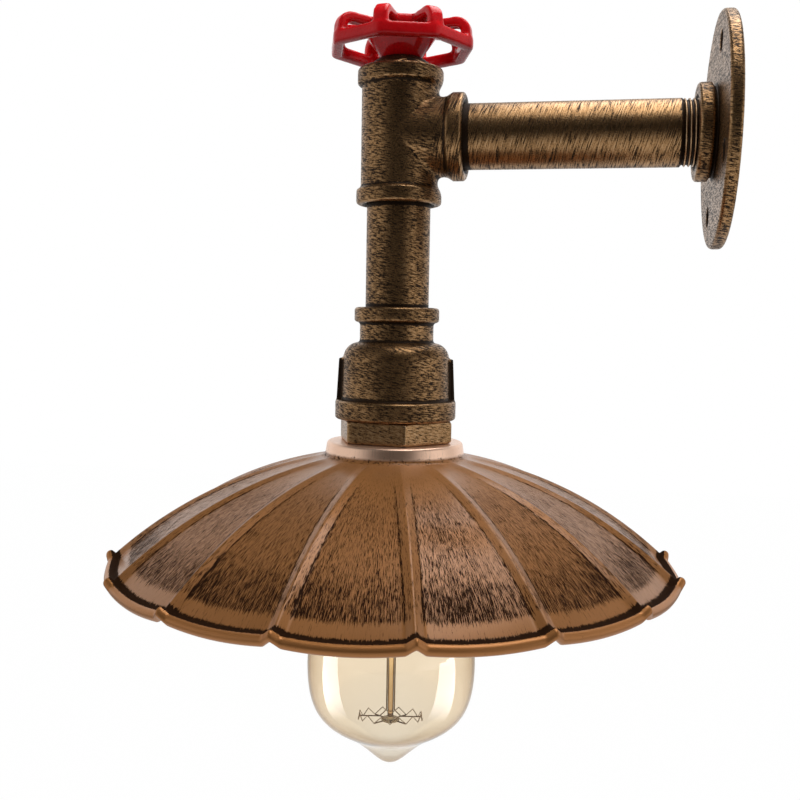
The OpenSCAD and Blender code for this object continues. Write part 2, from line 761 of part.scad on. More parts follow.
// Outline of the bulb's glass from its neck to its tip, drawn in by an inset
neck_r = lamp_d/2 - lamp_wall - fit;
glass_seat = 4;
neck_below = 2;
neck_pull = 16;
shoulder_pull = 34;
belly_share = 0.612;
brow_share = [0.288, 0.328];
brow_pull = [0.131, 0.155];
tip_pull = 0.129;
pip = [1.6, 0.9];
pip_pull = [1.45, 0.54];
glass_top = lamp_shell_foot + glass_seat;
widest = contact_top - bulb_widest;
tip = contact_top - filament_foot - tip_room;
function glass_line(inset) =
    let(neck = [neck_r - inset, lamp_shell_foot - neck_below],
        belly = [bulb_d/2 - inset, widest],
        size = [bulb_d, widest - tip],
        pull = [brow_pull[0]*size[0], brow_pull[1]*size[1]],
        brow = [brow_share[0]*size[0] - inset/2, tip + brow_share[1]*size[1] + inset],
        foot = [pip[0] - inset, tip + pip[1] + 2*inset])
    concat(
        [[neck_r - inset, glass_top], neck],
        curve(neck, neck - [0, neck_pull], belly + [0, shoulder_pull], belly, 12),
        curve(belly, belly - [0, belly_share*size[1]], brow + pull, brow, 9),
        curve(brow, brow - tip_pull*pull, foot + pip_pull, foot, 6)
    );

module bulb_glass() {
    outside = glass_line(0);
    inside = glass_line(glass_wall);
    color(amber) on_drop() rotate_extrude() polygon(concat(
        outside, [[0, tip]], [[0, tip + 3*glass_wall]], flip(inside)
    ));
}

module bulb_screw_cap() {
    outside = lamp_d/2;
    shoulder = lamp_shell_top - lamp_shoulder;
    top_r = outside - lamp_shoulder;
    color(brass) on_drop() rotate_extrude() polygon([
        [top_r, lamp_shell_top], [outside, shoulder], [outside, lamp_shell_foot],
        [outside - lamp_wall, lamp_shell_foot], [outside - lamp_wall, shoulder],
        [top_r - lamp_wall, lamp_shell_top]
    ]);
}

module bulb_cap_glass() {
    color([0.08, 0.08, 0.1]) on_drop() rotate_extrude() polygon([
        [0, lamp_shell_top], [lamp_d/2 - lamp_shoulder, lamp_shell_top],
        [lamp_contact_d/2 + contact_round, lamp_top], [0, lamp_top]
    ]);
}

module bulb_contact() {
    color(steel) on_drop() rotate_extrude() polygon([
        [0, lamp_top], [lamp_contact_d/2, lamp_top],
        [lamp_contact_d/2, contact_top - contact_round],
        [lamp_contact_d/2 - contact_round, contact_top], [0, contact_top]
    ]);
}

// Glass stem: a flare sealed in the neck, a rod, and a button that holds the supports
button_d = 8;
button_h = 1.4;
foot_row = contact_top - filament_foot;
press_r = 4;
press_drop = 18;
press_foot = glass_top - press_drop;
press_len = 8;
flare_h = 2;
flare_top = glass_top - flare_h;
module bulb_stem() {
    flare_r = neck_r - glass_wall - fit;
    rod_r = stem_d/2;
    color(amber) on_drop() rotate_extrude() polygon([
        [0, flare_top], [flare_r, flare_top], [flare_r, flare_top - flare_h],
        [press_r, press_foot], [rod_r, press_foot - press_len],
        [rod_r, foot_row + button_h/2], [button_d/2, foot_row + button_h/2],
        [button_d/2, foot_row - button_h/2], [0, foot_row - button_h/2]
    ]);
}

// Wires that hold the filament between its leads, in a star round the button
ring_r = filament_ring_d/2;
peak_angle = 360/filament_peaks;
function on_wreath(a, z = 0) = [ring_r*cos(a), filament_ring_w/2*sin(a), z];
module filament_supports() {
    color(steel) on_drop(foot_row) for (i = [1:filament_peaks - 1])
        if (i % 2 == 0 && i != filament_peaks/2) {
            foot = on_wreath(i*peak_angle);
            reach = norm(foot) - filament_d/2 - fit;
            rotate(filament_turn + atan2(foot[1], foot[0])) translate([button_d/2, 0, 0])
                rotate([0, 90, 0]) cylinder(d = support_d, h = reach - button_d/2, $fn = 16);
        }
}

// Round wire along a path, as one closed body
module wire(path, d, sides, refs) {
    last = len(path) - 1;
    function along(i) = unit(path[min(i + 1, last)] - path[max(i - 1, 0)]);
    points = [for (i = [0:last])
        let(across = unit(cross(along(i), refs[i])), rise = cross(along(i), across))
        for (k = [0:sides - 1])
            path[i] + d/2*(cos(360*k/sides)*across + sin(360*k/sides)*rise)];
    faces = concat(
        [[for (k = [0:sides - 1]) k]],
        [for (i = [0:last - 1]) for (k = [0:sides - 1])
            let(a = i*sides + k, b = i*sides + (k + 1) % sides)
            each [[a, a + sides, b + sides], [a, b + sides, b]]],
        [[for (k = [sides - 1:-1:0]) last*sides + k]]
    );
    polyhedron(points, faces);
}

// The filament zigzags round the button in two halves, from one lead to the other
module bulb_filament() {
    gap_angle = asin((support_d/2 + fit)/(filament_ring_w/2));
    row = [for (i = [0:filament_peaks])
        let(a = i == 0 ? gap_angle : i == filament_peaks ? 180 - gap_angle : i*peak_angle/2)
        on_wreath(a, foot_row + (i % 2)*filament_rise)];
    color([1, 0.8, 0.45]) on_drop() for (half = [0, 180]) rotate(filament_turn + half)
        wire(row, filament_d, 6, [for (p = row) [p[0], p[1], 0]]);
}

// Two leads from the stem's flare, down beside the rod and out to the filament's ends
lead_bend = 4;
lead_lift = 3;
module bulb_leads() {
    side = stem_d/2 + support_d/2 + fit;
    path = [
        [press_r + support_d/2 + fit, 0, press_foot],
        [side, 0, press_foot - press_len - lead_bend],
        [side, 0, foot_row + button_h + lead_lift], [side + lead_lift, 0, foot_row + button_h],
        [ring_r - button_h/2, 0, foot_row + button_h], [ring_r, 0, foot_row + button_h/2],
        [ring_r, 0, foot_row - filament_d]
    ];
    color(steel) on_drop() for (half = [0, 180]) rotate(filament_turn + half)
        wire(path, support_d, 6, [for (p = path) [0, 1, 0]]);
}

// Routes of the wires: from a splice, along the arm, round the bend in the tee, down the
// drop and through the grommet into the holder
splice_r = 4.4;
bundle_r = 1.6;
arm_sink = 5;
bend_r = 12;
splice_lead = 8;
splice_fan = 24;
entry_rise = 3;
wire_row = 2;
wire_fan = [4, 2.2];
wire_knee = [1.5, 4];
wire_drop = 2.4;
earth_fan = [3, 2.6];
earth_knee = [7, 1];
splice_front = splice_back + splice_len;
under_cap = cap_top - cap_top_t - grommet_lip;
function splice_at(a) = splice_r*[cos(a), sin(a)];
function run(a, ends) =
    let(s = splice_at(a), b = bundle_r*[cos(a), sin(a)],
        bend = arc([-arm_reach + bend_r, -arm_sink - bend_r], bend_r + b[1], 90, 180, 4),
        drop_y = -arm_reach - b[1])
    concat(
        [[s[0], -splice_front, s[1]], [s[0], -splice_front - splice_lead, s[1]],
         [b[0], -splice_front - splice_fan, b[1] - arm_sink]],
        [for (p = bend) [b[0], p[0], p[1]]],
        [[b[0], drop_y, reducer_top], [b[0], drop_y, cap_top + entry_rise], [b[0], drop_y, under_cap]],
        [for (p = ends) p + [0, -arm_reach, 0]]
    );

module house_wire(path) { wire(path, wire_d, 8, [for (p = path) [0.9, 0.1, 0.42]]); }

// End of a wire at a terminal, on the side given by 1 or -1
wire_end = tab_top + fit;
function to_terminal(side) = [
    [side*wire_fan[0], 0, under_cap - wire_fan[1]],
    [side*(terminal_r - wire_knee[0]), -wire_row, wire_end + wire_knee[1]],
    [side*terminal_r, -wire_row, wire_end + wire_drop], [side*terminal_r, -wire_row, wire_end]
];

module live_wire() { color([0.45, 0.25, 0.12]) house_wire(run(330, to_terminal(1))); }
module neutral_wire() { color([0.15, 0.3, 0.7]) house_wire(run(210, to_terminal(-1))); }

// Earth screw on the cap's inner wall, with the wire's end at its head
earth_head_d = 4;
earth_head_t = 0.8;
earth_shank = 1.6;
earth_shank_d = 2.6;
earth_lift = 0.6;
earth_z = shell_top + earth_head_d/2 + earth_lift;
earth_r = shell_d/2 - earth_shank - earth_head_t;
module earth_screw() {
    color(brass) on_drop(earth_z) rotate([90, 0, 0]) translate([0, 0, earth_r]) {
        cylinder(d = earth_head_d, h = earth_head_t);
        cylinder(d = earth_shank_d, h = earth_head_t + earth_shank);
    }
}

module earth_wire() {
    color([0.3, 0.6, 0.2]) house_wire(run(90, [
        [0, -earth_fan[0], under_cap - earth_fan[1]], [0, -earth_knee[0], earth_z - earth_knee[1]],
        [0, earth_fan[0] - earth_r, earth_z],
        [0, fit - earth_r, earth_z]]));
}

module wire_splices() {
    color([0.85, 0.85, 0.8]) from_wall() for (a = [330, 210, 90])
        translate(concat(splice_at(a), [splice_back])) cylinder(d = splice_d, h = splice_len);
}

wall_flange();
arm_pipe();
tee();
tee_plug();
drop_pipe();
reducer();
hex_bush();
hand_wheel();
wheel_spindle();
spindle_clip();
wheel_washer();
wheel_nut();
holder_cap();
wire_grommet();
holder_shell();
holder_insulator();
screw_shell();
centre_contact();
terminal_screws();
shade();
shade_ring();
bulb_glass();
bulb_screw_cap();
bulb_cap_glass();
bulb_contact();
bulb_stem();
filament_supports();
bulb_leads();
bulb_filament();
live_wire();
neutral_wire();
earth_wire();
earth_screw();
wire_splices();
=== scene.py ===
"""Looks of the pipe wall light: soft castings, pressed shade, glass bulb, finishes and stage."""

import math

import bmesh
import bpy
import numpy as np
from bpy.props import FloatProperty, FloatVectorProperty, IntProperty, PointerProperty
from bpy.types import Operator, Panel, PropertyGroup
from mathutils import Matrix, Vector


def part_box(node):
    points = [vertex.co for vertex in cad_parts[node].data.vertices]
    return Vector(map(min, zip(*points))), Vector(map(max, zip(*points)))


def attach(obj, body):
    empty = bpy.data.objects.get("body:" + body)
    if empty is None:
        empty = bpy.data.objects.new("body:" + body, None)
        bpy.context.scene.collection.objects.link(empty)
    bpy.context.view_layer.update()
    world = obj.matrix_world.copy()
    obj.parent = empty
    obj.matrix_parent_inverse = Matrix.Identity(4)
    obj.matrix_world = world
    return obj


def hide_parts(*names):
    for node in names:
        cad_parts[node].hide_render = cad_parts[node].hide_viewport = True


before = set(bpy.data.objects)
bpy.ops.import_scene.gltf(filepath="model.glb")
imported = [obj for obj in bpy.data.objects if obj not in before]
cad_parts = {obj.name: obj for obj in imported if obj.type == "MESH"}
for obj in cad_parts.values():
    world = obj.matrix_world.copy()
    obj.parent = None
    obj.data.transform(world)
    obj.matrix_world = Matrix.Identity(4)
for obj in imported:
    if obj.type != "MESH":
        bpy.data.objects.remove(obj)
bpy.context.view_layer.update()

bl_info = {
    "name": "Pipe wall light",
    "version": (1, 0, 0),
    "blender": (4, 5, 0),
    "location": "View3D > Sidebar > Pipe light",
    "description": "Builds the looks of a pipe wall light round its packed frame",
    "category": "Object",
}


def length(name, text, default):
    """A size in metres for the sidebar."""
    return FloatProperty(name=name, description=text, default=default, unit="LENGTH", precision=5)


def colour(name, text, default):
    """A colour for the sidebar."""
    return FloatVectorProperty(
        name=name, description=text, default=default, subtype="COLOR", min=0, max=1
    )


class CastingSizes(PropertyGroup):
    """Sizes of the cast fittings and the arm's thread."""

    reach: length("Reach", "Distance from the wall to the drop's axis", 0.132)
    grain: length("Grain", "Size of the cells that round the castings' edges", 0.00055)
    wheel_grain: length("Wheel grain", "Size of the cells that round the wheel's edges", 0.00042)
    crotch: length("Crotch", "Width of the fillet where the tee's branch meets its run", 0.0065)
    pipe_r: length("Pipe radius", "Outside radius of the pipe", 0.01345)
    pipe_bore: length("Pipe bore", "Inside radius of the pipe", 0.01085)
    # Mouth and the rings below are widths of black painted shade where pipes enter sockets
    mouth: length("Mouth", "Width of the dark bevel round a pipe's socket", 0.0014)
    branch_ring: length("Branch ring", "Width of the black ring on the arm by the tee", 0.002)
    drop_ring: length("Drop ring", "Width of the black rings at the drop's ends", 0.001)
    bell_r: length("Bell", "Radius of the reducer's bell", 0.0232)
    rib_foot: length("Rib foot", "Height of the casting ribs' foot", -0.1102)
    rib_top: length("Rib top", "Height of the casting ribs' top", -0.092)
    rib_lean: FloatProperty(name="Rib lean", description="Share a casting rib loses at its top", default=0.45)
    screw_r: length("Screws", "Radius of the circle of the wall screws", 0.0345)
    screw_hole: length("Screw hole", "Radius of a hole for a wall screw", 0.0035)
    thread_pitch: length("Thread pitch", "Pitch of the thread on the arm", 0.00181)
    thread_depth: length("Thread depth", "Depth of the thread on the arm", 0.0009)
    thread_turns: IntProperty(name="Thread turns", description="Turns of thread to see", default=4)


class ShadeSizes(PropertyGroup):
    """Sizes of the pressed shade."""

    panels: IntProperty(name="Panels", description="Panels round the shade", default=16)
    per_panel: IntProperty(name="Cuts", description="Steps across one panel", default=40)
    turn: FloatProperty(
        name="Turn", description="Bearing of the first rib", default=math.radians(14.7), subtype="ANGLE"
    )
    top: length("Top", "Height of the cup's top", -0.128)
    hole_r: length("Hole", "Radius of the hole for the holder", 0.0181)
    cup_r: length("Cup", "Radius of the cup at its top", 0.0292)
    cup_foot_r: length("Cup foot", "Radius of the cup at its foot", 0.0299)
    cup_h: length("Cup height", "Height of the cup", 0.006)
    cup_round: length("Cup edge", "Radius of the cup's top edge", 0.0014)
    rim_r: length("Rim", "Radius to the middle of the rolled rim", 0.12025)
    height: length("Height", "Height from the cup's top to the ribs' ends", 0.05)
    arch: length("Arch", "Rise of a rib above a straight line", 0.007)
    sheet: length("Sheet", "Thickness of the sheet", 0.001)
    roll_r: length("Roll", "Radius of the rolled rim", 0.0021)
    dip: length("Dip", "Depth of a panel at the rim", 0.0034)
    neck_dip: length("Neck dip", "Depth of a panel at the neck", 0.0008)
    rib_half: length("Rib", "Half the width of a rib", 0.003)
    crest: length("Crest", "Roundness of a rib's crest", 0.0003)
    jut: length("Jut", "Reach of a rib's end beyond the panels", 0.002)


class BulbSizes(PropertyGroup):
    """Sizes of the glass bulb."""

    neck_r: length("Neck", "Radius of the glass in the cap", 0.0126)
    neck_top: length("Neck top", "Height of the glass's upper end", -0.1437)
    neck_foot: length("Neck foot", "Height where the neck starts to widen", -0.1497)
    belly_r: length("Belly", "Largest radius of the glass", 0.03654)
    belly_z: length("Belly height", "Height of the widest part", -0.22483)
    tip_z: length("Tip", "Height of the tip", -0.26985)
    wall: length("Wall", "Thickness of the glass", 0.001)
    brow_r: length("Brow", "Radius where the glass turns in to its pip", 0.02)
    brow_up: length("Brow height", "Height of the brow above the tip", 0.01395)
    pip_r: length("Pip", "Radius of the pip's round end", 0.0057)
    pip_up: length("Pip height", "Height of the pip's round end above the tip", 0.00207)
    button: length("Button", "Height of the button on the stem's foot", 0.0014)
    smoke_z: length("Smoke", "Height below which the glass turns smoky", -0.249)


class Colours(PropertyGroup):
    """Colours of the finishes."""

    gilt: colour("Gilt", "Brushed bronze on the fittings", (0.36, 0.2, 0.085))
    soot: colour("Soot", "Dark ground of the fittings", (0.02, 0.0095, 0.0035))
    copper: colour("Copper", "Shade's paint", (0.335, 0.142, 0.045))
    ink: colour("Ink", "Dark strokes on the shade", (0.019, 0.007, 0.002))
    enamel: colour("Enamel", "Hand wheel", (0.68, 0.004, 0.008))
    amber: colour("Amber", "Tint of the glass", (1.0, 0.98, 0.94))


class StageSizes(PropertyGroup):
    """Place and angle of the camera, and height of the floor."""

    eye: FloatVectorProperty(
        name="Camera", description="Place of the camera", default=(0.4152, -0.0516, -0.0786), unit="LENGTH"
    )
    heading: FloatProperty(
        name="Heading", description="Bearing of the camera's back",
        default=math.radians(100.7), subtype="ANGLE",
    )
    pitch: FloatProperty(
        name="Pitch", description="Fall of the camera's view", default=math.radians(4.307), subtype="ANGLE"
    )
    roll: FloatProperty(
        name="Roll", description="Roll of the camera", default=math.radians(0.963), subtype="ANGLE"
    )
    lens: FloatProperty(name="Lens", description="Focal length in mm", default=44.46)
    floor_z: length("Floor", "Height of the floor", -1.1)


class PipeLight(PropertyGroup):
    """All settings of the pipe wall light."""

    casting: PointerProperty(type=CastingSizes)
    shade: PointerProperty(type=ShadeSizes)
    bulb: PointerProperty(type=BulbSizes)
    colours: PointerProperty(type=Colours)
    stage: PointerProperty(type=StageSizes)


# Finishes


class Value:
    """A shader value that can stand in a sum."""

    def __init__(self, finish, socket):
        self.finish = finish
        self.socket = socket

    def sum(self, operation, *terms):
        return self.finish.node("ShaderNodeMath", {"operation": operation}, dict(enumerate(terms)))

    def __add__(self, other):
        return self.sum("ADD", self, other)

    def __radd__(self, other):
        return self.sum("ADD", other, self)

    def __sub__(self, other):
        return self.sum("SUBTRACT", self, other)

    def __rsub__(self, other):
        return self.sum("SUBTRACT", other, self)

    def __mul__(self, other):
        return self.sum("MULTIPLY", self, other)

    def __rmul__(self, other):
        return self.sum("MULTIPLY", other, self)

    def __truediv__(self, other):
        return self.sum("DIVIDE", self, other)

    def __rtruediv__(self, other):
        return self.sum("DIVIDE", other, self)

    def __pow__(self, other):
        return self.sum("POWER", self, other)


class Finish:
    """A node tree of a material or of the world, built up node by node."""

    def __init__(self, owner):
        owner.use_nodes = True
        self.owner = owner
        self.tree = owner.node_tree
        self.tree.nodes.clear()

    def node(self, kind, settings=None, inputs=None, out=0):
        """One node with its settings, its socket values or links, and the output to use."""
        made = self.tree.nodes.new(kind)
        for key, value in (settings or {}).items():
            setattr(made, key, value)
        for key, value in (inputs or {}).items():
            if isinstance(value, Value):
                self.tree.links.new(value.socket, made.inputs[key])
            else:
                made.inputs[key].default_value = value
        return Value(self, made.outputs[out]) if made.outputs else None

    def place(self):
        """Coordinates of the object, which are those of the whole light."""
        return self.node("ShaderNodeTexCoord", out="Object")

    def split(self, vector):
        return [self.node("ShaderNodeSeparateXYZ", inputs={0: vector}, out=i) for i in range(3)]

    def join(self, x, y, z):
        return self.node("ShaderNodeCombineXYZ", inputs={0: x, 1: y, 2: z})

    def noise(self, vector, detail, scale=1.0, roughness=0.55):
        values = {"Vector": vector, "Scale": scale, "Detail": detail, "Roughness": roughness}
        return self.node("ShaderNodeTexNoise", inputs=values)

    def ramp(self, value, low, high, start=0.0, end=1.0):
        values = {0: value, 1: low, 2: high, 3: start, 4: end}
        return self.node("ShaderNodeMapRange", {"interpolation_type": "SMOOTHSTEP"}, values)

    def mix(self, share, first, second):
        first = first if isinstance(first, Value) else (*first, 1.0)
        second = second if isinstance(second, Value) else (*second, 1.0)
        settings = {"data_type": "RGBA", "clamp_factor": True}
        return self.node("ShaderNodeMix", settings, {0: share, 6: first, 7: second}, out=2)

    def mark(self, name):
        return self.node("ShaderNodeAttribute", {"attribute_name": name}, out="Fac")

    def rays(self, *kinds):
        """Whether the ray is of each of the kinds."""
        return [self.node("ShaderNodeLightPath", out="Is %s Ray" % kind) for kind in kinds]

    def bump(self, height, strength, depth):
        values = {"Height": height, "Strength": strength, "Distance": depth}
        return self.node("ShaderNodeBump", inputs=values)

    def principled(self, **values):
        inputs = {key.replace("_", " "): value for key, value in values.items()}
        return self.node("ShaderNodeBsdfPrincipled", inputs=inputs)

    def surface(self, shader, volume=None):
        kinds = {"World": "World", "AreaLight": "Light"}
        kind = kinds.get(type(self.owner).__name__, "Material")
        inputs = {"Surface": shader} if volume is None else {"Surface": shader, "Volume": volume}
        self.node("ShaderNodeOutput" + kind, inputs=inputs)
        return self.owner


def new_finish(name):
    return Finish(bpy.data.materials.new(name))


def drop_place(f, reach):
    """Coordinates measured from the drop's axis."""
    x, y, z = f.split(f.place())
    return x, y + reach, z


def brush_strokes(f, reach, arm_share):
    """Fine brush strokes round the drop's axis, or round the arm's where the share is 1."""
    x, y, z = drop_place(f, reach)
    level = z + 0.2 * y
    along = y - 0.3 * z
    still = 1 - arm_share

    def strokes(run, width, arm_run, arm_width):
        drop = f.join(x * run, y * run, level * width)
        arm = f.join(x * arm_run, along * arm_width, z * arm_run)
        round_drop, round_arm = [f.noise(place, detail=2, roughness=0.5) for place in (drop, arm)]
        return round_drop * still + round_arm * arm_share

    return strokes(430, 2300, 170, 2000), strokes(150, 900, 70, 800)


def bronze(name, reach, tints, round_arm=None, darker=0.0):
    """Dark casting paint with gilt brushed over it, worn bright on edges, and black in corners, holes and
    socket mouths, partly dark paint and partly painted shade.

    The strokes go round the drop where round_arm is 0 and round the arm where it is 1. Without it
    they follow the tee.
    """
    f = new_finish(name)
    share = round_arm
    if round_arm is None:
        y, z = drop_place(f, reach)[1:]
        share = f.ramp(y, 0.013, 0.021) * f.ramp(z * z, 0.00044, 0.0006, 1, 0)
    fine, broad = brush_strokes(f, reach, share)
    patch = f.noise(f.place(), scale=85, detail=3)
    speck = f.noise(f.place(), scale=2200, detail=2, roughness=0.5)
    wear, grime_and_shade = f.mark("wear"), f.mark("grime_and_shade")
    amount = 0.6 * fine + 0.12 * broad + 0.28 * speck + 0.08 * (patch - 0.5)
    # Inner corners, holes and socket mouths lose their gilt: partly dirt, partly painted shade
    amount = amount + 0.2 * wear - 0.4 * grime_and_shade - darker
    gilt = f.ramp(amount, 0.42, 0.565)
    tone = f.mix(f.ramp(patch, 0.35, 0.7), [c * 0.8 for c in tints.gilt], tints.gilt)
    tone = f.mix(f.ramp(amount, 0.54, 0.66, 0, 0.5), tone, (0.55, 0.36, 0.2))
    tone = f.mix(f.ramp(wear, 0.3, 0.95, 0, 0.5), tone, (0.62, 0.42, 0.25))
    paint = f.mix(gilt, tints.soot, tone)
    shine = f.ramp(gilt, 0, 1, 0.5, 0.3) + 0.2 * (speck - 0.5)
    relief = 0.7 * fine + 0.3 * broad + 0.8 * speck
    shader = f.principled(
        Base_Color=paint, Metallic=f.ramp(gilt, 0, 1, 0.2, 1.0), Roughness=shine,
        Specular_IOR_Level=0.1, Coat_Weight=0.04, Coat_Roughness=0.3,
        Normal=f.bump(relief, 0.22, 0.0005),
    )
    return f.surface(shader)


def copper_shade(reach, tints):
    """Copper paint with short black strokes down each panel and a black line at the rim."""
    f = new_finish("shade_copper")
    x, y = drop_place(f, reach)[:2]
    radius = (x * x + y * y) ** 0.5
    east, north = x / radius, y / radius
    run, rib, inside = f.mark("run"), f.mark("rib"), f.mark("inside")
    dash = f.noise(f.join(east * 370, north * 370, radius * 300), detail=3, roughness=0.6)
    hair = f.noise(f.join(east * 740, north * 740, radius * 480), detail=2, roughness=0.6)
    patch = f.noise(f.join(east * 6, north * 6, radius * 30), detail=3)
    speck = f.noise(f.place(), scale=1100, detail=2, roughness=0.6)
    grain = 0.55 * dash + 0.45 * hair
    flank = f.ramp(rib, 0.7, 0.75)
    foot = f.ramp(rib, 0.6, 0.68) * f.ramp(rib, 0.7, 0.73, 1, 0)
    clear = f.ramp(run, 0.905, 0.94, 1, 0)
    load = (0.56 + 0.9 * (patch - 0.5)) * f.ramp(run, 0.06, 0.4) + 0.32 * f.ramp(run, 0.66, 0.86)
    load = load * clear + 0.45 * foot * f.ramp(run, 0.05, 0.3) * f.ramp(run, 0.93, 0.95, 1, 0)
    load = load * (1 - 0.4 * flank) * (1 - 0.7 * inside)
    groove = f.ramp(run, 0.968, 0.991) * f.ramp(run, 1.012, 1.03, 1, 0)
    cup_foot = f.ramp(run, -0.05, -0.004) * f.ramp(run, 0.004, 0.03, 1, 0)
    strokes = f.ramp(grain + 0.16 * load + 0.33 * groove, 0.595, 0.64) * f.ramp(run, 1.025, 1.035, 1, 0)
    dust = f.ramp(0.7 * speck + 0.3 * hair + 0.3 * cup_foot * patch, 0.66, 0.72)
    black = 1 - (1 - strokes) * (1 - dust)
    tone = f.mix(f.ramp(patch, 0.3, 0.7), [c * 0.88 for c in tints.copper], tints.copper)
    tone = f.mix(0.3 * f.ramp(hair, 0.42, 0.6), tone, [c * 0.7 for c in tints.copper])
    cup = f.ramp(run, -0.03, -0.01, 1, 0)
    tone = f.mix(0.95 * cup, tone, (1.0, 0.67, 0.49))
    tone = f.mix(0.25 * inside, tone, (0.3, 0.15, 0.075))
    bead = f.ramp(run, 1.0, 1.03)
    tone = f.mix(0.6 * bead, tone, [c * 1.5 for c in tints.copper])
    paint = f.mix(black, tone, tints.ink)
    shader = f.principled(
        Base_Color=paint, Metallic=(0.3 + 0.55 * cup + 0.3 * bead) * (1 - black),
        Roughness=(f.ramp(black, 0, 1, 0.4, 0.85) + 0.12 * (hair - 0.5)) * (1 - 0.25 * cup),
        Specular_IOR_Level=0.06, Coat_Roughness=0.22,
        Coat_Weight=f.ramp(black, 0, 1, 0.62, 0.0) * (1 - 0.6 * bead) * (1 - 0.7 * cup),
        Normal=f.bump(hair - 1.2 * black, 0.1, 0.0003),
    )
    return f.surface(shader)


def red_enamel(tints):
    """Thick glossy enamel, darkened in its corners as painted shade, and thin on the edges."""
    f = new_finish("red_enamel")
    peel = f.noise(f.place(), scale=420, detail=2)
    flow = f.noise(f.place(), scale=70, detail=2)
    wear, grime_and_shade = f.mark("wear"), f.mark("grime_and_shade")
    tone = f.mix(f.ramp(flow, 0.35, 0.7), [c * 0.82 for c in tints.enamel], tints.enamel)
    # Painted shade: the enamel turns almost black in inner corners
    tone = f.mix(0.7 * grime_and_shade, tone, (0.06, 0.001, 0.002))
    tone = f.mix(f.ramp(wear, 0.3, 1, 0, 0.3), tone, (0.5, 0.012, 0.016))
    shader = f.principled(
        Base_Color=tone, Roughness=f.ramp(peel, 0.3, 0.7, 0.22, 0.34), Specular_IOR_Level=0.1,
        Coat_Weight=f.ramp(flow, 0, 1, 0.25, 0.4), Coat_Roughness=0.04,
        Normal=f.bump(0.7 * flow + 0.3 * peel, 0.1, 0.001),
    )
    return f.surface(shader)


def bare_metal(name, tone, dull, roughness):
    """Metal with fine scratches and dull patches."""
    f = new_finish(name)
    scratch = f.noise(f.place(), scale=1500, detail=3)
    patch = f.noise(f.place(), scale=220, detail=3)
    paint = f.mix(f.ramp(patch, 0.35, 0.75), tone, dull)
    shader = f.principled(
        Base_Color=paint, Metallic=1.0,
        Roughness=roughness + 0.25 * (scratch - 0.5) + 0.15 * (patch - 0.5),
        Normal=f.bump(scratch, 0.05, 0.0003),
    )
    return f.surface(shader)


def plain_stuff(name, tone, dark_tone, roughness):
    """Rubber, porcelain or plastic with a slight mottle."""
    f = new_finish(name)
    mottle = f.noise(f.place(), scale=300, detail=3)
    paint = f.mix(f.ramp(mottle, 0.3, 0.7), tone, dark_tone)
    shader = f.principled(
        Base_Color=paint, Roughness=roughness + 0.15 * (mottle - 0.5), Normal=f.bump(mottle, 0.06, 0.0004)
    )
    return f.surface(shader)


def clear_glass(name, tone, deep, bend, smoky_below, stain=None):
    """Tinted glass with faint waves and a smoky foot, which lets light through to what it holds."""
    f = new_finish(name)
    x, y, z = f.split(f.place())
    wave = f.noise(f.join(x * 40, y * 40, z * 14), detail=1)
    tint = f.mix(f.ramp(wave, 0.3, 0.7, 0, 0.5), tone, deep)
    if stain is None:
        tint = f.mix(f.ramp(z, smoky_below, smoky_below + 0.0004, 1, 0), tint, (0.3, 0.25, 0.17))
    else:
        tint = f.mix(f.ramp(z, smoky_below - 0.012, smoky_below + 0.012, 0.9, 0), tint, (0.89, 0.91, 0.92))
    glass = f.principled(
        Base_Color=tint, Roughness=0.0, IOR=bend, Transmission_Weight=1.0,
        Normal=f.bump(wave, 0.04, 0.002),
    )
    through = f.node("ShaderNodeBsdfTransparent", inputs={"Color": (*tone, 1.0)})
    shadow = f.rays("Shadow")[0]
    shader = f.node("ShaderNodeMixShader", inputs={0: shadow, 1: glass, 2: through})
    if stain is None:
        return f.surface(shader)
    soak = f.node("ShaderNodeVolumeAbsorption", inputs={"Color": (*stain, 1.0), "Density": 400.0})
    return f.surface(shader, soak)


def dress(finish, *nodes):
    """Gives CAD pieces a finish."""
    for node in nodes:
        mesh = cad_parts[node].data
        mesh.materials.clear()
        mesh.materials.append(finish)


# Shapes


def new_piece(name, bm):
    """A smooth object from a finished bmesh."""
    bmesh.ops.recalc_face_normals(bm, faces=bm.faces[:])
    mesh = bpy.data.meshes.new(name)
    bm.to_mesh(mesh)
    bm.free()
    mesh.shade_smooth()
    piece = bpy.data.objects.new(name, mesh)
    bpy.context.scene.collection.objects.link(piece)
    return piece


def settle(piece):
    """Turns a piece's modifiers into its mesh."""
    graph = bpy.context.evaluated_depsgraph_get()
    made = bpy.data.meshes.new_from_object(piece.evaluated_get(graph))
    old = piece.data
    piece.modifiers.clear()
    piece.data = made
    bpy.data.meshes.remove(old)
    made.name = piece.name
    made.shade_smooth()


def mount(piece, body, slot, finish, *nodes):
    """Puts a piece on its body in place of CAD nodes."""
    piece.data.materials.clear()
    piece.data.materials.append(finish)
    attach(piece, body)
    if nodes:
        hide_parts(*nodes)
    return piece


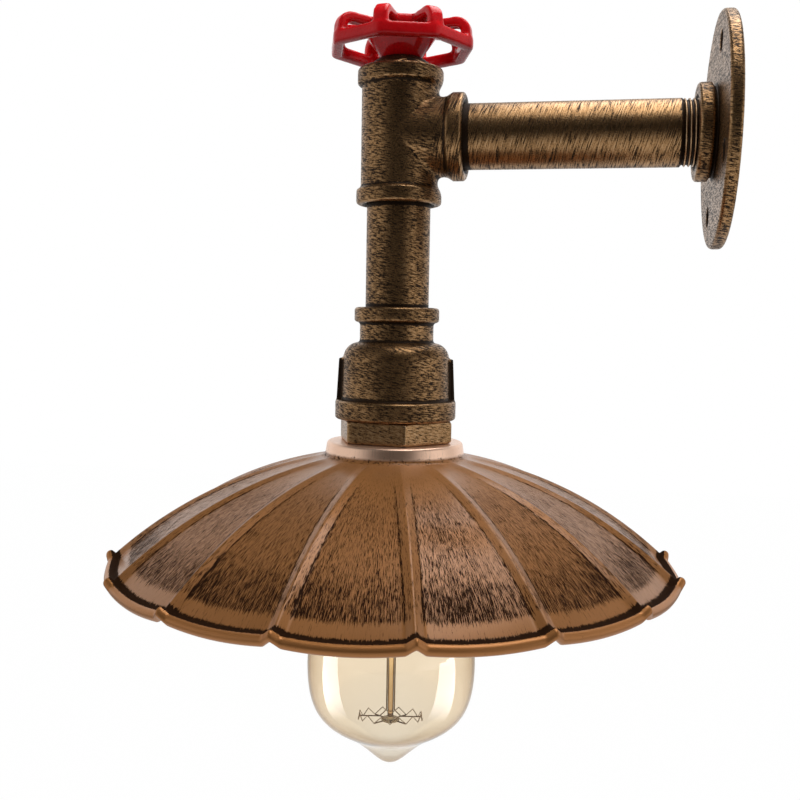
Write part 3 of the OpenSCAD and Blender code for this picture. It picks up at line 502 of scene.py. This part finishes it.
def mark_edges(piece, spread=2, black=None):
    """Marks outer edges for wear, and inner corners for dirt and painted shade; the spots given as black get
    the full dark mark.
    """
    mesh = piece.data
    count = len(mesh.vertices)
    place = np.empty(count * 3)
    mesh.vertices.foreach_get("co", place)
    place = place.reshape(-1, 3)
    facing = np.empty(count * 3)
    mesh.vertex_normals.foreach_get("vector", facing)
    facing = facing.reshape(-1, 3)
    ends = np.empty(len(mesh.edges) * 2, dtype=np.int64)
    mesh.edges.foreach_get("vertices", ends)
    a, b = ends.reshape(-1, 2).T
    step = place[b] - place[a]
    bend = ((facing[b] - facing[a]) * step).sum(1) / np.maximum((step * step).sum(1), 1e-12)
    links = np.bincount(a, minlength=count) + np.bincount(b, minlength=count)

    def gather(at_a, at_b):
        return (np.bincount(a, at_b, count) + np.bincount(b, at_a, count)) / np.maximum(links, 1)

    curve = gather(bend, bend)
    for _ in range(spread):
        curve = 0.5 * curve + 0.5 * gather(curve[a], curve[b])
    # The dark mark is partly dirt and partly painted shade in inner corners, holes and sockets
    wear_from, wear_full, grime_and_shade_from, grime_and_shade_full = 230, 680, 130, 460
    marks = {
        "wear": np.clip((curve - wear_from) / (wear_full - wear_from), 0, 1),
        "grime_and_shade": np.clip((-curve - grime_and_shade_from) / (grime_and_shade_full - grime_and_shade_from), 0, 1),
    }
    if black is not None:
        spots = np.array([black(v.co) for v in mesh.vertices])
        marks["grime_and_shade"] = np.where(spots, 1.0, marks["grime_and_shade"])
        marks["wear"] = np.where(spots, 0.0, marks["wear"])
    for name, values in marks.items():
        layer = mesh.attributes.new(name, "FLOAT", "POINT")
        layer.data.foreach_set("value", values.astype(np.float32))


def soft_casting(node, grain, rounds, swell=0.0):
    """A copy of a CAD piece with its edges and corners rounded as on a casting."""
    bm = bmesh.new()
    bm.from_mesh(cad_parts[node].data)
    bmesh.ops.remove_doubles(bm, verts=bm.verts[:], dist=1e-6)
    piece = new_piece(node + "_cast", bm)
    cells = piece.modifiers.new("Cells", "REMESH")
    cells.mode = "VOXEL"
    cells.voxel_size = grain
    ease = piece.modifiers.new("Ease", "SMOOTH")
    ease.factor = 0.5
    ease.iterations = rounds
    if swell:
        plump = piece.modifiers.new("Plump", "DISPLACE")
        plump.mid_level, plump.strength = 0.0, swell
    settle(piece)
    return piece


def fillet_crotch(piece, centre, width, rounds):
    """Rounds the inner corner where the tee's branch leaves its run."""
    bm = bmesh.new()
    bm.from_mesh(piece.data)
    near, far, bore_r = 0.01, 0.0225, 0.0145

    def in_crotch(v):
        x, y, z = v.co - centre
        return near < y < far and abs(abs(z) - y) < width and math.hypot(x, y) > bore_r

    chosen = [v for v in bm.verts if in_crotch(v)]
    for _ in range(rounds):
        bmesh.ops.smooth_vert(
            bm, verts=chosen, factor=0.5, use_axis_x=True, use_axis_y=True, use_axis_z=True
        )
    bm.to_mesh(piece.data)
    bm.free()


def lean_ribs(piece, centre, size):
    """Draws the reducer's casting ribs in toward their tops."""
    for vert in piece.data.vertices:
        spot = vert.co - centre
        r = math.hypot(spot.x, spot.y)
        if r > size.bell_r and size.rib_foot < spot.z < size.rib_top + size.mouth:
            share = (spot.z - size.rib_foot) / (size.rib_top - size.rib_foot)
            pull = (r - size.bell_r) * size.rib_lean * share / r
            vert.co -= pull * Vector((spot.x, spot.y, 0))


def turned(name, line, centre, axis, steps, closed=True):
    """A lathe piece: points of its section are spun round an axis."""
    bm = bmesh.new()
    points = [bm.verts.new(p) for p in line]
    for first, second in zip(points, points[1:]):
        bm.edges.new((first, second))
    if closed:
        bm.edges.new((points[-1], points[0]))
    bmesh.ops.spin(
        bm, geom=bm.verts[:] + bm.edges[:], cent=centre, axis=axis, angle=2 * math.pi,
        steps=steps, use_merge=True,
    )
    bmesh.ops.remove_doubles(bm, verts=bm.verts[:], dist=1e-7)
    return new_piece(name, bm)


def bezier(a, b, c, d, steps):
    """Points of a cubic curve without its first."""
    made = []
    for i in range(1, steps + 1):
        t = i / steps
        s = 1 - t
        made.append(tuple(
            s ** 3 * p + 3 * s * s * t * q + 3 * s * t * t * r + t ** 3 * e
            for p, q, r, e in zip(a, b, c, d)
        ))
    return made


def fine_line(points, step):
    """The same line with no part longer than a step."""
    made = [points[0]]
    for a, b in zip(points, points[1:]):
        parts = max(1, math.ceil(math.dist(a, b) / step))
        made += [tuple(p + (q - p) * i / parts for p, q in zip(a, b)) for i in range(1, parts + 1)]
    return made


class PIPELIGHT_OT_fittings(Operator):
    """Rounds the flange, tee, plug, reducer and bush, and brushes them with bronze"""

    bl_idname = "pipe_light.fittings"
    bl_label = "Fittings"

    def execute(self, context):
        light = context.scene.pipe_light
        size = light.casting
        gilded_flange = bronze("bronze_flange", size.reach, light.colours, 0.0)
        gilded_tee = bronze("bronze_tee", size.reach, light.colours)
        gilded_drop = bronze("bronze_reducer", size.reach, light.colours, 0.0)
        gilded_hex = bronze("bronze_hexagon", size.reach, light.colours, 0.0, darker=-0.05)
        sooty = bronze("dark_fittings", size.reach, light.colours, 0.0, darker=0.13)
        centre = Vector((0, -size.reach, 0))
        mouth_r = size.pipe_r + size.mouth
        hub_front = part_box("wall_flange")[0].y
        tee_foot, reducer_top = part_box("tee")[0].z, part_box("reducer")[1].z
        tee_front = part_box("tee")[1].y
        face, back, hole_edge, rib_edge = -0.0047, -0.0003, 0.0008, 0.0004
        crotch_rounds, plug_cells = 40, 0.7

        # Painted shade: the screw holes and the hub's mouth are black, as shade inside them
        def in_flange_mouth(at):
            r = math.hypot(at.x, at.z)
            screw = abs(r - size.screw_r) < size.screw_hole + hole_edge and face < at.y < back
            return screw or (r < mouth_r and at.y < hub_front + size.mouth)

        # Painted shade: the tee's socket mouths are black, as shade where the pipes go in
        def in_tee_mouth(at):
            spot = at - centre
            branch = math.hypot(spot.x, spot.z) < mouth_r and at.y > tee_front - size.mouth
            return branch or (math.hypot(spot.x, spot.y) < mouth_r and abs(spot.z) > -tee_foot - size.mouth)

        # The casting ribs are black paint; the reducer's mouth is black as painted shade
        def on_casting_rib(at):
            spot = at - centre
            round_drop = math.hypot(spot.x, spot.y)
            rib = round_drop > size.bell_r + rib_edge and size.rib_foot < spot.z < size.rib_top
            return rib or (round_drop < mouth_r and spot.z > reducer_top - size.mouth)

        castings = (
            ("wall_flange", 4, in_flange_mouth, gilded_flange), ("tee", 5, in_tee_mouth, gilded_tee),
            ("reducer", 3, on_casting_rib, gilded_drop), ("hex_bush", 2, None, gilded_hex),
        )
        for node, rounds, black, gilded in castings:
            piece = soft_casting(node, size.grain, rounds)
            if node == "tee":
                fillet_crotch(piece, centre, size.crotch, crotch_rounds)
            if node == "reducer":
                lean_ribs(piece, centre, size)
            mark_edges(piece, black=black)
            mount(piece, "fixture", "fittings", gilded, node)
        plug = soft_casting("tee_plug", size.grain * plug_cells, 2)
        mark_edges(plug)
        mount(plug, "fixture", "dark_fittings", sooty, "tee_plug")
        return {"FINISHED"}


class PIPELIGHT_OT_pipes(Operator):
    """Turns the arm and the drop, with the arm's thread by the flange"""

    bl_idname = "pipe_light.pipes"
    bl_label = "Pipes"

    def execute(self, context):
        light = context.scene.pipe_light
        size = light.casting
        brushed_arm = bronze("bronze_arm", size.reach, light.colours, 1.0, darker=-0.04)
        brushed_drop = bronze("bronze_drop", size.reach, light.colours, 0.0)
        lo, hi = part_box("arm_pipe")
        step, sides, bared = 0.0006, 96, 0.8
        root = size.pipe_r - size.thread_depth
        hub_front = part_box("wall_flange")[0].y
        thread_end = hub_front - size.thread_turns * size.thread_pitch * bared
        outline = [
            (size.pipe_bore, lo.y), (size.pipe_r, lo.y), (size.pipe_r, thread_end),
            (root, thread_end + size.thread_depth), (root, hi.y), (size.pipe_bore, hi.y),
        ]
        line = [Vector((r, y, 0)) for r, y in fine_line(outline, step)]
        arm = turned("arm_tube", line, (0, 0, 0), (0, 1, 0), sides)
        # Painted shade: the arm is black where it enters the tee, and black under the thread, between its
        # turns
        branch_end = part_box("tee")[1].y + size.branch_ring
        mark_edges(arm, black=lambda at: at.y < branch_end or at.y > thread_end)
        mount(arm, "fixture", "fittings", brushed_arm, "arm_pipe")
        self.cut_thread(size, root, hub_front, brushed_arm)
        lo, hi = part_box("drop_pipe")
        outline = [
            (size.pipe_bore, lo.z), (size.pipe_r, lo.z), (size.pipe_r, hi.z), (size.pipe_bore, hi.z),
        ]
        line = [Vector((r, -size.reach, z)) for r, z in fine_line(outline, step)]
        drop = turned("drop_tube", line, (0, -size.reach, 0), (0, 0, 1), sides)
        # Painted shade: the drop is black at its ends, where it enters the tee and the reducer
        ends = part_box("reducer")[1].z + size.drop_ring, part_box("tee")[0].z - size.drop_ring
        mark_edges(drop, black=lambda at: not ends[0] < at.z < ends[1])
        mount(drop, "fixture", "fittings", brushed_drop, "drop_pipe")
        return {"FINISHED"}

    def cut_thread(self, size, root, hub_front, finish):
        """A ridge wound round the arm, from just outside the hub into it."""
        bm = bmesh.new()
        sunk, worn, outside, half_foot, half_crest, cuts = 0.0002, 0.00012, 0.6, 0.42, 0.09, 72
        pitch, foot, crest = size.thread_pitch, root - sunk, size.pipe_r - worn
        start = hub_front - (size.thread_turns - outside) * pitch
        section = [(foot, -half_foot), (crest, -half_crest), (crest, half_crest), (foot, half_foot)]
        points = [bm.verts.new((r, start + share * pitch, 0)) for r, share in section]
        for first, second in zip(points, points[1:] + points[:1]):
            bm.edges.new((first, second))
        steps = cuts * size.thread_turns
        bmesh.ops.spin(
            bm, geom=bm.verts[:] + bm.edges[:], cent=(0, 0, 0), axis=(0, 1, 0),
            dvec=(0, pitch / cuts, 0), angle=2 * math.pi * size.thread_turns, steps=steps,
        )
        bmesh.ops.holes_fill(bm, edges=[e for e in bm.edges if e.is_boundary], sides=4)
        thread = new_piece("arm_thread", bm)
        # Painted shade: the thread's roots are black between its turns
        mark_edges(thread, 1, lambda at: math.hypot(at.x, at.z) < crest - sunk)
        mount(thread, "fixture", "fittings", finish)


class PIPELIGHT_OT_hand_wheel(Operator):
    """Rounds the hand wheel and enamels it red"""

    bl_idname = "pipe_light.hand_wheel"
    bl_label = "Hand wheel"

    def execute(self, context):
        light = context.scene.pipe_light
        rounds, enamel_coat = 40, 0.00025
        wheel = soft_casting("hand_wheel", light.casting.wheel_grain, rounds, enamel_coat)
        mark_edges(wheel)
        mount(wheel, "wheel", "red_enamel", red_enamel(light.colours), "hand_wheel")
        zinc = bare_metal("zinc_plate", (0.6, 0.6, 0.58), (0.42, 0.42, 0.4), 0.32)
        dress(zinc, "wheel_spindle", "spindle_clip", "wheel_washer", "wheel_nut")
        return {"FINISHED"}


class PIPELIGHT_OT_shade(Operator):
    """Spins the shade, presses its ribs and panels, and paints it"""

    bl_idname = "pipe_light.shade"
    bl_label = "Shade"

    def execute(self, context):
        light = context.scene.pipe_light
        size = light.shade
        axis = Vector((0, -light.casting.reach, 0))
        section, marks = self.section(size)
        bm = bmesh.new()
        run = bm.verts.layers.float.new("run")
        inside = bm.verts.layers.float.new("inside")
        rib = bm.verts.layers.float.new("rib")
        points = []
        for (r, z), (t, side) in zip(section, marks):
            vert = bm.verts.new((r, -light.casting.reach, z))
            vert[run], vert[inside] = t, side
            points.append(vert)
        for first, second in zip(points, points[1:] + points[:1]):
            bm.edges.new((first, second))
        bmesh.ops.spin(
            bm, geom=bm.verts[:] + bm.edges[:], cent=axis, axis=(0, 0, 1), angle=2 * math.pi,
            steps=size.panels * size.per_panel, use_merge=True,
        )
        for vert in bm.verts:
            vert[rib] = self.press(size, vert, axis, vert[run])
        shade = new_piece("pressed_shade", bm)
        mount(shade, "fixture", "shade_copper", copper_shade(light.casting.reach, light.colours), "shade")
        dark = bare_metal("ring_bronze", (0.07, 0.05, 0.035), (0.03, 0.022, 0.016), 0.45)
        dress(dark, "shade_ring")
        return {"FINISHED"}

    def section(self, size):
        """Closed section of the shade with how far down the panel and on which face each point is.

        The run is 0 at the cup's foot and 1 at the rim, less on the cup and more on the roll.
        """
        on_flat, on_edge, edge_run, roll_run = -0.12, -0.1, 0.03, 0.2
        down, round_roll, round_edge, across = 44, 18, 6, 5
        roll_start, roll_sweep = 115, 280
        up_start = Vector((size.cup_foot_r, size.top - size.cup_h))
        lean = math.radians(-25)
        out = Vector((math.cos(lean), math.sin(lean)))
        end = Vector((size.rim_r, size.top - size.height)) - size.roll_r * out
        chord = end - up_start
        up = Vector((-chord.y, chord.x)).normalized()
        outside = []
        for i in range(down + 1):
            t = i / down
            outside.append((up_start + chord * t + 4 * size.arch * t * (1 - t) * up, t))
        centre = end + size.roll_r * out
        roll = []
        for i in range(1, round_roll + 1):
            part = i / round_roll
            a = math.radians(roll_start - roll_sweep * part)
            roll.append((centre + size.roll_r * Vector((math.cos(a), math.sin(a))), 1 + roll_run * part))
        shoulder = Vector((size.cup_r - size.cup_round, size.top - size.cup_round))
        cup, lining = [], []
        for i in range(round_edge + 1):
            a = math.radians(90 - 90 * i / round_edge)
            ray = Vector((math.cos(a), math.sin(a)))
            t = on_edge + edge_run * i / round_edge
            cup.append((shoulder + size.cup_round * ray, t))
            lining.append((shoulder + (size.cup_round - size.sheet) * ray, t))
        ledge = shoulder.x - size.hole_r
        flat = [(Vector((size.hole_r + ledge * i / across, size.top)), on_flat) for i in range(across)]
        foot, foot_run = cup[-1]
        fall = up_start - foot
        side = [(foot + fall * i / across, foot_run * (1 - i / across)) for i in range(1, across)]
        front = flat + cup + side + outside
        back = [(p - size.sheet * up, t) for p, t in reversed(outside)]
        back += list(reversed(lining)) + [(p - Vector((0, size.sheet)), t) for p, t in reversed(flat)]
        line = [(p.x, p.y) for p, t in front + roll + back]
        marks = [(t, 0.0) for p, t in front + roll] + [(t, 1.0) for p, t in back]
        return line, marks

    def press(self, size, vert, axis, t):
        """Moves a point of the spun shade to its place in a panel, and says how near a rib it is."""
        gore = 2 * math.pi / size.panels
        spot = vert.co - axis
        angle = math.atan2(spot.y, spot.x) - size.turn
        place = (angle / gore) % 1.0
        even = 2 * place - 1
        q = abs(even)
        # The cuts crowd toward the rib, so that its flanks stay sharp
        crowding = ((0, 0), (0.4, 0.68), (0.7, 0.86), (1, 1))
        flank_share, blend_width, blend_dip, neck_ease, rib_reach = 0.68, 0.06, 0.015, 14, 0.01
        for (u0, q0), (u1, q1) in zip(crowding, crowding[1:]):
            if q <= u1 + 1e-9:
                q = q0 + (q1 - q0) * (q - u0) / (u1 - u0)
                break
        turn = size.turn + gore * (math.floor(angle / gore + 1e-9) + (1 + math.copysign(q, even)) / 2)
        r = math.hypot(spot.x, spot.y)
        half = r * gore / 2
        away = (1 - q) * half
        flank = flank_share * (math.hypot(away, size.crest) - size.crest) / size.rib_half
        hollow = flank_share + (1 - flank_share) * (1 - (q / max(1 - size.rib_half / half, 0.1)) ** 2)
        blend = max(0.0, 1 - abs(flank - hollow) / blend_width)
        dip = min(flank, hollow) - blend_dip * blend * blend
        t = min(max(t, 0.0), 1.0)
        depth = (size.neck_dip + (size.dip - size.neck_dip) * t) * min(1.0, t * neck_ease)
        r -= size.jut * t ** 5 * dip
        vert.co = axis + Vector((r * math.cos(turn), r * math.sin(turn), spot.z - depth * dip))
        return max(0.0, 1 - away / rib_reach)


class PIPELIGHT_OT_bulb(Operator):
    """Blows the glass bulb and finishes the pieces inside it"""

    bl_idname = "pipe_light.bulb"
    bl_label = "Bulb"

    def execute(self, context):
        light = context.scene.pipe_light
        size = light.bulb
        reach = light.casting.reach
        line = [Vector((r, -reach, z)) for r, z in self.outline(size)]
        sides = 144
        glass = turned("blown_bulb", line, (0, -reach, 0), (0, 0, 1), sides, closed=False)
        wall = glass.modifiers.new("Wall", "SOLIDIFY")
        wall.thickness, wall.offset = size.wall, -1
        settle(glass)
        tint = light.colours.amber
        deep = [c * 0.98 for c in tint]
        amber = clear_glass("amber_glass", tint, deep, 1.46, size.smoke_z, stain=(0.91, 0.74, 0.45))
        mount(glass, "bulb", "amber_glass", amber, "bulb_glass")
        button_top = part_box("bulb_stem")[0].z + size.button
        rod = clear_glass("stem_glass", (0.95, 0.76, 0.5), (0.9, 0.66, 0.38), 1.08, button_top)
        mount(self.stem(button_top), "bulb", "stem_glass", rod, "bulb_stem")
        brass = bare_metal("lamp_brass", (0.72, 0.55, 0.24), (0.5, 0.36, 0.14), 0.28)
        dress(brass, "bulb_screw_cap")
        dress(plain_stuff("cap_glass", (0.012, 0.012, 0.016), (0.03, 0.03, 0.035), 0.15), "bulb_cap_glass")
        dress(bare_metal("solder", (0.6, 0.6, 0.6), (0.4, 0.4, 0.42), 0.35), "bulb_contact")
        dark = bare_metal("lead_wire", (0.3, 0.24, 0.16), (0.2, 0.15, 0.1), 0.4)
        dress(dark, "filament_supports", "bulb_leads")
        dress(bare_metal("carbon_wire", (0.42, 0.34, 0.24), (0.3, 0.24, 0.16), 0.45), "bulb_filament")
        return {"FINISHED"}

    def stem(self, button_top):
        """A copy of the glass stem with its button pressed flat."""
        bm = bmesh.new()
        bm.from_mesh(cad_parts["bulb_stem"].data)
        bmesh.ops.remove_doubles(bm, verts=bm.verts[:], dist=1e-6)
        flat = 0.4
        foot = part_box("bulb_stem")[0].z
        middle = (foot + button_top) / 2
        button = [v for v in bm.verts if v.co.z < button_top + 1e-5]
        bmesh.ops.scale(
            bm, verts=button, vec=(1, 1, flat), space=Matrix.Translation((0, 0, -middle))
        )
        return new_piece("glass_stem", bm)

    def outline(self, size):
        """Line of the glass from its neck to its tip."""
        neck = Vector((size.neck_r, size.neck_foot))
        belly = Vector((size.belly_r, size.belly_z))
        brow = Vector((size.brow_r, size.tip_z + size.brow_up))
        pip = Vector((size.pip_r, size.tip_z + size.pip_up))
        tip = Vector((0, size.tip_z))
        upward, outward = Vector((0, 1)), Vector((1, 0))
        brow_way, pip_way = Vector((0.8567, 0.5159)), Vector((0.7893, 0.614))
        line = [(neck.x, size.neck_top), tuple(neck)]
        line += bezier(neck, neck - 0.016 * upward, belly + 0.03 * upward, belly, 40)
        line += bezier(belly, belly - 0.0225 * upward, brow + 0.01117 * brow_way, brow, 36)
        line += bezier(brow, brow - 0.00634 * brow_way, pip + 0.0031 * pip_way, pip, 18)
        return line + bezier(pip, pip - 0.0021 * pip_way, tip + 0.0031 * outward, tip, 10)


class PIPELIGHT_OT_holder(Operator):
    """Finishes the lamp holder and the wires"""

    bl_idname = "pipe_light.holder"
    bl_label = "Holder and wires"

    def execute(self, context):
        zinc = bare_metal("holder_zinc", (0.5, 0.49, 0.46), (0.36, 0.35, 0.33), 0.4)
        brass = bare_metal("holder_brass", (0.62, 0.45, 0.18), (0.4, 0.27, 0.1), 0.3)
        porcelain = plain_stuff("porcelain", (0.82, 0.8, 0.74), (0.74, 0.71, 0.64), 0.25)
        dress(zinc, "holder_cap", "terminal_screws")
        dress(brass, "holder_shell", "screw_shell", "centre_contact", "earth_screw")
        dress(porcelain, "holder_insulator")
        dress(plain_stuff("rubber", (0.012, 0.012, 0.012), (0.03, 0.03, 0.03), 0.6), "wire_grommet")
        dress(plain_stuff("brown_cover", (0.12, 0.05, 0.02), (0.09, 0.035, 0.014), 0.45), "live_wire")
        dress(plain_stuff("blue_cover", (0.02, 0.07, 0.3), (0.014, 0.05, 0.22), 0.45), "neutral_wire")
        dress(plain_stuff("green_cover", (0.08, 0.3, 0.04), (0.06, 0.22, 0.03), 0.45), "earth_wire")
        dress(plain_stuff("nylon", (0.7, 0.7, 0.64), (0.6, 0.6, 0.55), 0.4), "wire_splices")
        return {"FINISHED"}


class PIPELIGHT_OT_stage(Operator):
    """Sets the floor, the soft lights, the white surroundings and the camera"""

    bl_idname = "pipe_light.stage"
    bl_label = "Stage"

    def execute(self, context):
        scene = context.scene
        size = scene.pipe_light.stage
        self.floor(size)
        self.surroundings(scene)
        middle, ceiling = Vector((0, -0.1, -0.12)), 0.4
        boxes = (
            ("left_strip", (0.16, -0.83, -0.62), 0.44, 0.8, 10, True),
            ("right_strip", (0.0, 0.56, -0.62), 0.44, 0.8, 10, True),
            ("left_softbox", (0.1, -0.83, 0.1), 0.34, 0.6, 1.2, False),
            ("right_softbox", (-0.06, 0.56, 0.1), 0.34, 0.6, 1.4, False),
            ("arm_softbox", (0.13, 0.05, 0.5), 0.35, 0.4, 1.3, True),
            ("back_softbox", (-0.22, 0.05, 0.5), 0.35, 0.4, 1.8, True),
            ("top_softbox", (0.0, -0.1, 0.75), 0.7, 0.5, 3, False),
        )
        bulb_alone = bpy.data.collections.new("bulb_alone")
        bulb_alone.objects.link(bpy.data.objects["blown_bulb"])
        for name, place, width, height, watts, mirrored in boxes:
            lamp = bpy.data.lights.new(name, "AREA")
            lamp.shape = "RECTANGLE"
            lamp.size, lamp.size_y, lamp.energy = width, height, watts
            light = bpy.data.objects.new(name, lamp)
            light.location = place
            if place[2] < ceiling:
                light.rotation_euler = (middle - light.location).to_track_quat("-Z", "Y").to_euler()
            light.visible_camera = light.visible_transmission = False
            light.visible_glossy = mirrored
            if "strip" in name:
                self.soften(lamp)
                light.light_linking.receiver_collection = bulb_alone
            scene.collection.objects.link(light)
        self.camera(scene, size)
        scene.view_settings.view_transform = "Standard"
        return {"FINISHED"}

    def soften(self, lamp):
        """Lets a strip of light fade at its lower end."""
        f = Finish(lamp)
        up = f.split(f.node("ShaderNodeNewGeometry", out="Parametric"))[1]
        glow = f.ramp(up, 0.16, 0.62)
        f.surface(f.node("ShaderNodeEmission", inputs={"Color": f.join(glow, glow, glow)}))

    def floor(self, size):
        """Matt for light that falls on it, white for the camera and behind the bulb for the glass."""
        bm = bmesh.new()
        bmesh.ops.create_grid(bm, x_segments=8, y_segments=8, size=6)
        bmesh.ops.translate(bm, verts=bm.verts[:], vec=(0, 0, size.floor_z))
        floor = new_piece("pale_floor", bm)
        f = new_finish("pale_floor")
        mottle = f.noise(f.place(), scale=3, detail=2)
        tone = f.mix(f.ramp(mottle, 0.3, 0.7), (0.5, 0.5, 0.5), (0.54, 0.54, 0.54))
        matt = f.principled(Base_Color=tone, Roughness=0.9)
        camera, glass, gloss = f.rays("Camera", "Transmission", "Glossy")
        x, y = f.split(f.place())[:2]
        far = (x * x + y * y) ** 0.5
        behind = f.ramp((-0.97 * x - 0.24 * y) / far, 0.93, 0.995) * f.ramp(far, 1.2, 1.9)
        glow = f.mix(glass * (1 - behind), (1, 1, 1), (0.55, 0.46, 0.36))
        white = f.node("ShaderNodeEmission", inputs={"Color": glow, "Strength": 1.0})
        near = f.ramp(far, 0.9, 3.2, 0.95, 0.2)
        share = 0.996 * (camera + glass) + near * gloss
        both = f.node("ShaderNodeMixShader", inputs={0: share, 1: matt, 2: white})
        floor.data.materials.append(f.surface(both))

    def surroundings(self, scene):
        """White for the camera; brown at the sides for the glass; for metal dim where the camera stands."""
        scene.world = bpy.data.worlds.new("studio")
        f = Finish(scene.world)
        x, y, z = f.split(f.node("ShaderNodeTexCoord", out="Generated"))
        toward = 0.98 * x + 0.18 * y
        level = (x * x + y * y) ** 0.5
        around = (0.55 + 0.45 * f.ramp(toward, -0.7, -0.15, 1, 0)) * f.ramp(toward, 0.4, 0.93, 1, 0)
        left = f.ramp((0.34 * x - 0.94 * y) / level, 0.85, 0.96)
        right = f.ramp((0.24 * x + 0.97 * y) / level, 0.8, 0.95)
        bands = 0.26 * left + f.ramp(z, -0.1, 0.05, 1.1, 0.36) * right
        bright = 0.95 * around * f.ramp(z, 0.4, 0.75, 1, 0.08) + bands * f.ramp(z, 0.2, 0.4, 1, 0)
        studio = f.join(bright, bright, bright)
        backdrop = f.mix(f.ramp(toward, -0.75, -0.2), (1, 1, 1), (0.62, 0.52, 0.41))
        camera, glass, gloss = f.rays("Camera", "Transmission", "Glossy")

        def light(tone, strength):
            return f.node("ShaderNodeBackground", inputs={"Color": tone, "Strength": strength})

        def choose(share, first, second):
            return f.node("ShaderNodeMixShader", inputs={0: share, 1: first, 2: second})

        lit = choose(gloss, light((1, 1, 1, 1), 0.35), light(studio, 1.0))
        lit = choose(glass, lit, light(backdrop, 1.0))
        f.surface(choose(camera, lit, light((1, 1, 1, 1), 1.0)))

    def camera(self, scene, size):
        """The camera at the photograph's place and angle."""
        lens = bpy.data.cameras.new("photo_camera")
        lens.lens, lens.sensor_width = size.lens, 36.0
        lens.clip_start, lens.clip_end = 0.01, 50
        camera = bpy.data.objects.new("photo_camera", lens)
        scene.collection.objects.link(camera)
        back = Vector((
            math.sin(size.heading) * math.cos(size.pitch),
            -math.cos(size.heading) * math.cos(size.pitch),
            math.sin(size.pitch),
        ))
        aim = (-back).to_track_quat("-Z", "Y").to_matrix() @ Matrix.Rotation(size.roll, 3, "Z")
        camera.matrix_world = Matrix.Translation(size.eye) @ aim.to_4x4()
        scene.camera = camera


STEPS = ("fittings", "pipes", "hand_wheel", "shade", "bulb", "holder", "stage")


class PIPELIGHT_PT_sidebar(Panel):
    """Settings and steps of the pipe wall light"""

    bl_idname = "PIPELIGHT_PT_sidebar"
    bl_label = "Pipe wall light"
    bl_space_type = "VIEW_3D"
    bl_region_type = "UI"
    bl_category = "Pipe light"

    def draw(self, context):
        light = context.scene.pipe_light
        for group in (light.casting, light.shade, light.bulb, light.colours, light.stage):
            column = self.layout.column()
            for name in group.bl_rna.properties.keys():
                if name not in ("rna_type", "name"):
                    column.prop(group, name)
        for step in STEPS:
            self.layout.operator("pipe_light." + step)


CLASSES = (
    CastingSizes, ShadeSizes, BulbSizes, Colours, StageSizes, PipeLight,
    PIPELIGHT_OT_fittings, PIPELIGHT_OT_pipes, PIPELIGHT_OT_hand_wheel, PIPELIGHT_OT_shade,
    PIPELIGHT_OT_bulb, PIPELIGHT_OT_holder, PIPELIGHT_OT_stage, PIPELIGHT_PT_sidebar,
)


def register():
    for cls in CLASSES:
        bpy.utils.register_class(cls)
    bpy.types.Scene.pipe_light = PointerProperty(type=PipeLight)


def unregister():
    del bpy.types.Scene.pipe_light
    for cls in reversed(CLASSES):
        bpy.utils.unregister_class(cls)


def main():
    register()
    for step in STEPS:
        getattr(bpy.ops.pipe_light, step)()


if __name__ == "__main__":
    main()
